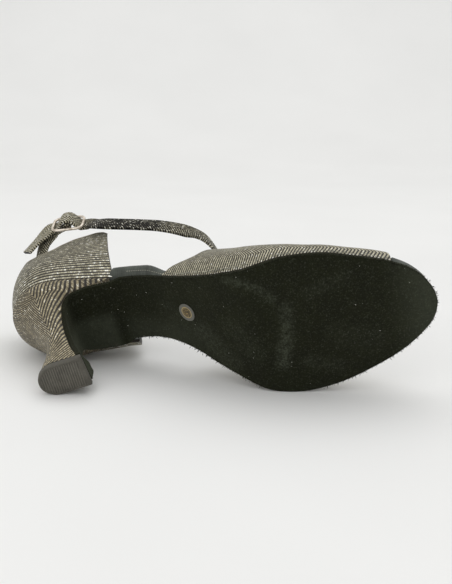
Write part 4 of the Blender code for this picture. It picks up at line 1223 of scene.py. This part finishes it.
def buckle_place():
    """Middle of the buckle, and its directions along the strap, across it and outwards."""
    outwards = BUCKLE_FACE.normalized()
    middle = counter_point(BUCKLE_PLACE, 1.0) + Vector((0, -BUCKLE_STAND, BUCKLE_RISE))
    along = (BUCKLE_AHEAD - outwards * BUCKLE_AHEAD.dot(outwards)).normalized()
    middle += along * BUCKLE_SHIFT
    return middle, along, outwards.cross(along).normalized(), outwards


middle, ahead, across, outwards = buckle_place()
print("the buckle's middle stands", round(middle.z / MM, 1), "mm above the floor of the standing shoe")


# %% Instep strap
def strap_path():
    depth = UPPER_WALL + GAP + STRAP_THICKNESS / 2
    edge = read(VAMP_EDGE, "rear", STRAP_TURN, "turn")
    path = []
    for step in (0.042, 0.023, 0.004):
        square = vamp_square(edge + step, STRAP_TURN)
        point = vamp_point(edge + step, STRAP_TURN) - square * (depth + STRAP_SETTLE)
        path.append((point, square, STRAP_ROOT))
    root = path[-1][0]
    hump = BUCKLE_WIRE / 2 + 5 * GAP + TAB_THICKNESS + STRAP_THICKNESS / 2
    under = -(BUCKLE_WIRE / 2 + GAP + STRAP_THICKNESS / 2)
    half = BUCKLE_LENGTH / 2
    lead, trail = half + 0.004, -half - 0.0014
    enter = middle + ahead * lead + outwards * under
    way = enter - root
    guide = [root]
    for share, out, up in zip(STRAP_BOW["way"], STRAP_BOW["out"], STRAP_BOW["up"]):
        guide.append(root + way * share + Vector((0, -out, up)) * way.length)
    free = through(guide + [enter], 3)[1:]
    start = path[-1][1]
    for i, point in enumerate(free):
        share = (i + 1) / len(free)
        square = start.lerp(STRAP_FACE, ease(share, 0.04, 0.50))
        square = square.lerp(outwards, ease(share, 0.6, 1.0)).normalized()
        path.append((point, square, mix(STRAP_ROOT, STRAP_WIDTH, ease(share, 0.0, 0.17))))
    rise = half - BUCKLE_WIRE / 2 - 0.0002
    for step in range(1, 24):
        a = mix(lead, trail, step / 23)
        lift = 0.5 + 0.5 * math.cos(math.pi * min(abs(a) / rise, 1.0) ** HUMP_FULLNESS)
        path.append((middle + ahead * a + outwards * mix(under, hump, lift), outwards, STRAP_WIDTH))
    last = path[-1][0]
    way = TAIL_WAY.normalized()
    turn = last + (way * 0.92 - ahead * 0.08).normalized() * TAIL_LENGTH * 0.45
    tail = through([path[-2][0], last, turn, last + way * TAIL_LENGTH], 4)[5:]
    for i, point in enumerate(tail):
        share = (i + 1) / len(tail)
        path.append((point, outwards.lerp(TAIL_FACE, ease(share, 0.0, 0.7)).normalized(), STRAP_WIDTH))
    return path


# Painted shade: the strap is nearly black in its middle, lighter near the vamp and lightest near the buckle.
def strap_shade_tone(point):
    near_vamp = ease(point.x / MM, 88, 104)
    near_buckle = 1 - ease(point.x / MM, 40, 62)
    light = 0.04 + 0.42 * near_vamp + 0.95 * near_buckle
    return light, 0.42 + 0.12 * light


strap_mesh = band_mesh("instep_band", finer(strap_path()), STRAP_THICKNESS, strap_shade_tone,
                       Vector((0.07, 0.01, 0.09)))
strap = stand("instep_band", strap_mesh, SHADED_STRAP_CLOTH, LINING, RIM)
hand_over(strap, "instep_strap")


# %% Buckle tab
def tab_path():
    inside = UPPER_WALL + GAP + TAB_THICKNESS / 2 + STRAP_SETTLE
    bend = BUCKLE_WIRE / 2 + GAP + TAB_THICKNESS / 2
    guide = [counter_point(ANCHOR_PLACE, level, inside) for level in (0.70, 0.84, 0.98)]
    for a, w, n in zip(TAB["along"], TAB["across"], TAB["out"]):
        guide.append(middle + (ahead * a + across * w + outwards * n) * BUCKLE_LENGTH)
    start = counter_square(ANCHOR_PLACE, 0.84)
    path = []
    for i, point in enumerate(through(guide, 3)):
        path.append((point, start.lerp(outwards, ease(i, 6, 13)).normalized(), TAB_WIDTH))
    for angle in np.radians((-105, -80, -50, -20, 10, 40, 70, 100, 125)):
        out = ahead * math.cos(angle) + outwards * math.sin(angle)
        path.append((middle + out * bend, -out, TAB_WIDTH))
    for a, n in ((-1.25, 0.25), (-1.6, -0.30)):
        path.append((middle + (ahead * a + outwards * n) * bend, ahead * 0.6 - outwards * 0.8, TAB_WIDTH))
    return path


def tab_tone(point):
    return 0.60, 0.45


tab_mesh = band_mesh("buckle_tab", finer(tab_path()), TAB_THICKNESS, tab_tone, Vector((0.03, 0.0, 0.09)))
# The tab wears the strap cloth, whose darker colours are painted shade.
tab = stand("buckle_tab", tab_mesh, SHADED_STRAP_CLOTH, LINING, RIM)
hand_over(tab, "buckle_strap")

# %% Buckle
corner = 0.26 * BUCKLE_WIDTH
outline = []
for sign_a, sign_w, start in ((1, 1, 0), (-1, 1, 90), (-1, -1, 180), (1, -1, 270)):
    for angle in np.radians(np.linspace(start, start + 90, 9)):
        a = sign_a * (BUCKLE_LENGTH / 2 - corner) + corner * math.cos(angle)
        w = sign_w * (BUCKLE_WIDTH / 2 - corner) + corner * math.sin(angle)
        outline.append(middle + ahead * a + across * w)
reach = BUCKLE_WIDTH / 2
bar_path = [middle + across * reach * (n / 8 - 1) for n in range(17)]
ring_mesh = tube_mesh("plated_buckle", outline, BUCKLE_WIRE / 2, 14, True, outwards)
bar_mesh = tube_mesh("buckle_bar", bar_path, BUCKLE_WIRE * 0.46, 12, False, outwards)
both = bmesh.new()
both.from_mesh(ring_mesh)
both.from_mesh(bar_mesh)
both.to_mesh(ring_mesh)
both.free()
buckle = stand("plated_buckle", ring_mesh, METAL)
hand_over(buckle, "buckle_frame")

# %% [markdown]
# ## The sticker
# A paper disc this small needs only a few rings, but it should lie like paper: thin, with a soft
# edge and a middle pressed a little into the nap. It is a stack of circles, as the tip was a stack
# of plans.

# %% Paper sticker
DISC_PROFILE = [
    (0.99, 0.0), (1.0, 0.10), (1.0, 0.22), (0.985, 0.30),
    (0.9, 0.31), (0.7, 0.28), (0.4, 0.26), (0.04, 0.26),
]
x, z = underside(STICKER_AT)
slope = (Vector((*underside(STICKER_AT + 0.01),)) - Vector((*underside(STICKER_AT - 0.01),))).normalized()
along_sole = Vector((slope.x, 0, slope.y))
square = Vector((-slope.y, 0, slope.x))
disc_middle = Vector((x, STICKER_SIDE, z)) - square * GAP
disc_rings, disc_weave = [], []
for scale, drop in DISC_PROFILE:
    ring, pairs = [], []
    for n in range(49):
        angle = 2 * math.pi * n / 48
        a = math.cos(angle) * scale * STICKER_DIAMETER / 2
        w = math.sin(angle) * scale * STICKER_DIAMETER / 2
        ring.append(disc_middle + along_sole * a + Vector((0, w, 0)) - square * drop * MM)
        pairs.append((a / MM, w / MM))
    disc_rings.append(ring[:48])
    disc_weave.append(pairs)
disc_mesh = sheet_mesh("paper_sticker", disc_rings, disc_middle, disc_weave, closed=True, caps=True)
sticker = stand("paper_sticker", disc_mesh, PAPER)
hand_over(sticker, "size_sticker")

# %% [markdown]
# ## Stitches, fibres and lumps of glitter
# Small things that follow a line are laid by Geometry Nodes. One tree does them all: it turns a
# path into a curve, sets a point at every step, jitters it, turns a tiny shape along the path with
# a random lean, and makes the result real. Its inputs are named, so the same tree lays stitches in
# step, or fibres and glitter in disorder.

# %% A tree that lays small things along a path
def laying_tree(name, shape):
    """shape is stitch, fibre or lump."""
    tree = bpy.data.node_groups.new(name, "GeometryNodeTree")
    face = tree.interface
    face.new_socket("Geometry", in_out="OUTPUT", socket_type="NodeSocketGeometry")
    face.new_socket("Path", in_out="INPUT", socket_type="NodeSocketGeometry")
    for label, kind in (("Step", "Float"), ("Length", "Float"), ("Thickness", "Float"), ("Spread", "Float"),
                        ("Lean", "Float"), ("Seed", "Int"), ("Finish", "Material")):
        face.new_socket(label, in_out="INPUT", socket_type="NodeSocket" + kind)
    given = tree.nodes.new("NodeGroupInput").outputs
    curve = wire_up(tree, "GeometryNodeMeshToCurve", None, {0: given["Path"]})
    spots = wire_up(tree, "GeometryNodeCurveToPoints", {"mode": "LENGTH"},
                    {"Curve": curve.outputs[0], "Length": given["Step"]})
    away = wire_up(tree, "FunctionNodeRandomValue", {"data_type": "FLOAT_VECTOR"},
                   {0: (-1, -1, -1), 1: (1, 1, 1), "Seed": given["Seed"]})
    shift = wire_up(tree, "ShaderNodeVectorMath", {"operation": "SCALE"},
                    {0: away.outputs[0], "Scale": given["Spread"]})
    spread = wire_up(tree, "GeometryNodeSetPosition", None,
                     {0: spots.outputs[0], "Offset": shift.outputs[0]})
    if shape == "fibre":
        small = wire_up(tree, "GeometryNodeMeshCone", None,
                        {"Vertices": 3, "Radius Top": 0.0, "Radius Bottom": given["Thickness"],
                         "Depth": given["Length"]})
    else:
        ball = wire_up(tree, "GeometryNodeMeshUVSphere", None, {"Segments": 6, "Rings": 4, "Radius": 0.5})
        size = wire_up(tree, "ShaderNodeCombineXYZ", None,
                       {0: given["Thickness"], 1: given["Thickness"], 2: given["Length"]})
        small = wire_up(tree, "GeometryNodeTransform", None, {0: ball.outputs[0], "Scale": size.outputs[0]})
    lean = wire_up(tree, "ShaderNodeVectorMath", {"operation": "SCALE"},
                   {0: away.outputs[0], "Scale": given["Lean"]})
    turned = wire_up(tree, "FunctionNodeEulerToRotation", None, {0: lean.outputs[0]})
    facing = wire_up(tree, "FunctionNodeRotateRotation", {"rotation_space": "LOCAL"},
                     {0: spots.outputs["Rotation"], 1: turned.outputs[0]})
    sizes = wire_up(tree, "FunctionNodeRandomValue", {"data_type": "FLOAT"},
                    {2: 1.0 if shape == "stitch" else 0.45, 3: 1.0 if shape == "stitch" else 1.35,
                     "Seed": given["Seed"]})
    laid = wire_up(tree, "GeometryNodeInstanceOnPoints", None,
                   {0: spread.outputs[0], "Instance": small.outputs[0], "Rotation": facing.outputs[0],
                    "Scale": sizes.outputs[1]})
    real = wire_up(tree, "GeometryNodeRealizeInstances", None, {0: laid.outputs[0]})
    done = wire_up(tree, "GeometryNodeSetMaterial", None, {0: real.outputs[0], "Material": given["Finish"]})
    result = tree.nodes.new("NodeGroupOutput")
    tree.links.new(done.outputs[0], result.inputs[0])
    return tree


TREES = {shape: laying_tree("lay_" + shape, shape) for shape in ("stitch", "fibre", "lump")}


def lay_along(name, paths, shape, finish, step, length, thickness, spread=0.0, lean=0.0, seed=1):
    """Small shapes along one or more paths, as one plain mesh; sizes in millimetres."""
    shape_mesh = bmesh.new()
    for path in paths:
        verts = [shape_mesh.verts.new(p) for p in path]
        for a, b in zip(verts, verts[1:]):
            shape_mesh.edges.new((a, b))
    mesh = bpy.data.meshes.new(name)
    shape_mesh.to_mesh(mesh)
    shape_mesh.free()
    thing = bpy.data.objects.new(name, mesh)
    bpy.context.scene.collection.objects.link(thing)
    layer = thing.modifiers.new("lay", "NODES")
    layer.node_group = TREES[shape]
    sizes = {"Step": step * MM, "Length": length * MM, "Thickness": thickness * MM, "Spread": spread * MM,
             "Lean": lean, "Seed": seed, "Finish": finish}
    for item in TREES[shape].interface.items_tree:
        if item.in_out == "INPUT" and item.name in sizes:
            layer[item.identifier] = sizes[item.name]
    hand_over(thing)
    thing.data.shade_smooth()


print("trees", sorted(TREES))

# %% Stitches of the insole and the top line
STITCH_ROW = 27
INSOLE_LIFT = 0.00012
TOPLINE_LIFT = 0.0001


def insole_path(side, start, stop, back=0.55, level=0.22):
    """A line on the insole's rounded side, between two distances from the heel in millimetres."""
    path = []
    for outer, inner, out_ledge, in_ledge in edges:
        y, ledge = (outer[1], out_ledge) if side < 0 else (inner[1], in_ledge)
        place = outer[0] if side < 0 else inner[0]
        if start <= place / MM <= stop:
            x, z = underside(place / LENGTH, SOLE_THICKNESS + GAP + level * INSOLE_THICKNESS)
            path.append(Vector((x, y + ledge * back + side * INSOLE_LIFT, z)))
    return path


waist = [insole_path(-1, 67, 94), insole_path(1, 72, 94)]
lay_along("insole_stitches", waist, "stitch", THREAD, 1.5, 1.15, 0.42, lean=0.08, seed=4)
row = counter_rows[STITCH_ROW]
below_roll = []
for c in range(0, len(row), 2):
    place = -1 + 2 * c / (len(row) - 1)
    below_roll.append(row[c] + counter_square(min(max(place, -0.97), 0.97), 0.9) * TOPLINE_LIFT)
lay_along("topline_stitches", [below_roll], "stitch", THREAD, 1.7, 1.25, 0.36,
          lean=0.06, seed=5)

# %% Fibres of the cut suede and glitter along the seam
FIBRE_START = 0.066
FIBRE_ROOM = 0.0022
SEAM_TURN = 0.975
bottom = []
for corner in (0, -1):
    line = [row[corner] for row in sole_face if row[corner].x > FIBRE_START]
    bottom.append([point for point in line if (LAID @ point).z > FIBRE_ROOM])
lay_along("suede_fibres", bottom, "fibre", CUT_SUEDE, 0.35, 1.30, 0.19,
          spread=0.40, lean=2.4, seed=7)
seam = []
for side in (-1, 1):
    line = [vamp_point(mix(0.41, 0.90, n / 80), side * SEAM_TURN) for n in range(81)]
    seam.append([point + Vector((0, side * 0.0003, 0)) for point in line])
lay_along("seam_glitter", seam, "lump", THREAD, 0.80, 0.85, 0.65,
          spread=0.40, lean=3.0, seed=9)

# %% [markdown]
# ## Floor, light and camera
# The shoe was photographed on a seamless white sheet under a broad soft light, so the scene has a
# floor that curves up behind, one large lamp above, a weaker one in front on the left, and a pale
# world. The camera is set by numbers: its place and its three directions were found for the
# standing shoe, so it is laid down by the same matrix.

# %% Floor and backdrop
BEND_START = 0.9
BEND_RADIUS = 0.9
REACH = 2.6
profile = [(-REACH, 0.0), (BEND_START, 0.0)]
for angle in np.radians(range(10, 91, 10)):
    profile.append((BEND_START + math.sin(angle) * BEND_RADIUS, BEND_RADIUS - math.cos(angle) * BEND_RADIUS))
profile.append((BEND_START + BEND_RADIUS, REACH))
floor_shape = bmesh.new()
strips = [[floor_shape.verts.new((x, y, z)) for y, z in profile] for x in (-REACH, REACH)]
for left, right, far_left, far_right in zip(strips[0], strips[1], strips[0][1:], strips[1][1:]):
    floor_shape.faces.new((left, right, far_right, far_left))
floor_mesh = bpy.data.meshes.new("seamless_floor")
floor_shape.to_mesh(floor_mesh)
floor_shape.free()
floor_mesh.shade_smooth()
sheet_white = Finish("floor_sheet")
tint = sheet_white.noise(180.0, 2.0)
white = sheet_white.blend(tint, (0.80, 0.80, 0.79, 1), (0.86, 0.86, 0.85, 1))
sheet_white.set(Base_Color=white, Roughness=0.75)
floor = stand("seamless_floor", floor_mesh, sheet_white.material)
floor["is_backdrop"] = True
print("the floor is swept from", len(profile), "points")


# %% Lamps, world and camera
def soft_lamp(name, place, target, size, power):
    data = bpy.data.lights.new(name, "AREA")
    data.shape = "DISK"
    data.size = size
    data.energy = power
    lamp = bpy.data.objects.new(name, data)
    bpy.context.scene.collection.objects.link(lamp)
    lamp.location = place
    lamp.rotation_euler = (Vector(target) - Vector(place)).to_track_quat("-Z", "Y").to_euler()


soft_lamp("top_light", (0.10, 0.30, 1.4), (0.10, 0, 0), 1.9, 6.5)
soft_lamp("left_light", (-0.6, -1.1, 0.55), (0.03, 0, 0.03), 0.9, 2.4)
world = bpy.data.worlds.new("pale_room")
bpy.context.scene.world = world
world.use_nodes = True
sky = world.node_tree.nodes["Background"].inputs
sky["Color"].default_value = (0.945, 0.945, 0.94, 1)
sky["Strength"].default_value = 0.865

right = Vector((0.97291, 0.21301, -0.08989))
down = Vector((-0.23010, 0.85431, -0.46605))
forward = Vector((-0.02248, 0.47411, 0.88018))
stands_at = Vector((0.1359, -0.2530, -0.4164))
axes = Matrix((right, -down, -forward)).transposed().to_4x4()
photo_lens = bpy.data.cameras.new("photo_camera")
photo_lens.lens = 58.85
photo_lens.sensor_width = 36
photo_lens.sensor_fit = "AUTO"
photo_lens.shift_y = -3 / 584
photo_lens.clip_start = 0.01
camera = bpy.data.objects.new("photo_camera", photo_lens)
bpy.context.scene.collection.objects.link(camera)
camera.matrix_world = LAID @ Matrix.Translation(stands_at) @ axes
bpy.context.scene.camera = camera
print("camera at", [round(value / MM) for value in camera.matrix_world.translation], "mm")

# %% [markdown]
# ## Check and finish
# The dressed shoe may stand out a little past its packed box, as cloth does; the sizes of both boxes are
# printed.

# %% Measure and finish
dressed_box = [list(corner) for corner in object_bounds()]
for side, label in enumerate("XYZ"):
    packed = (cad_box[1][side] - cad_box[0][side]) / MM
    dressed = (dressed_box[1][side] - dressed_box[0][side]) / MM
    print(label, round(packed, 1), "mm packed,", round(dressed, 1), "mm dressed")
lowest = sorted((min(v.co.z for v in piece.data.vertices) / MM, piece.name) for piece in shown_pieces())
print("lowest pieces", [(name, round(depth, 1)) for depth, name in lowest[:4]])
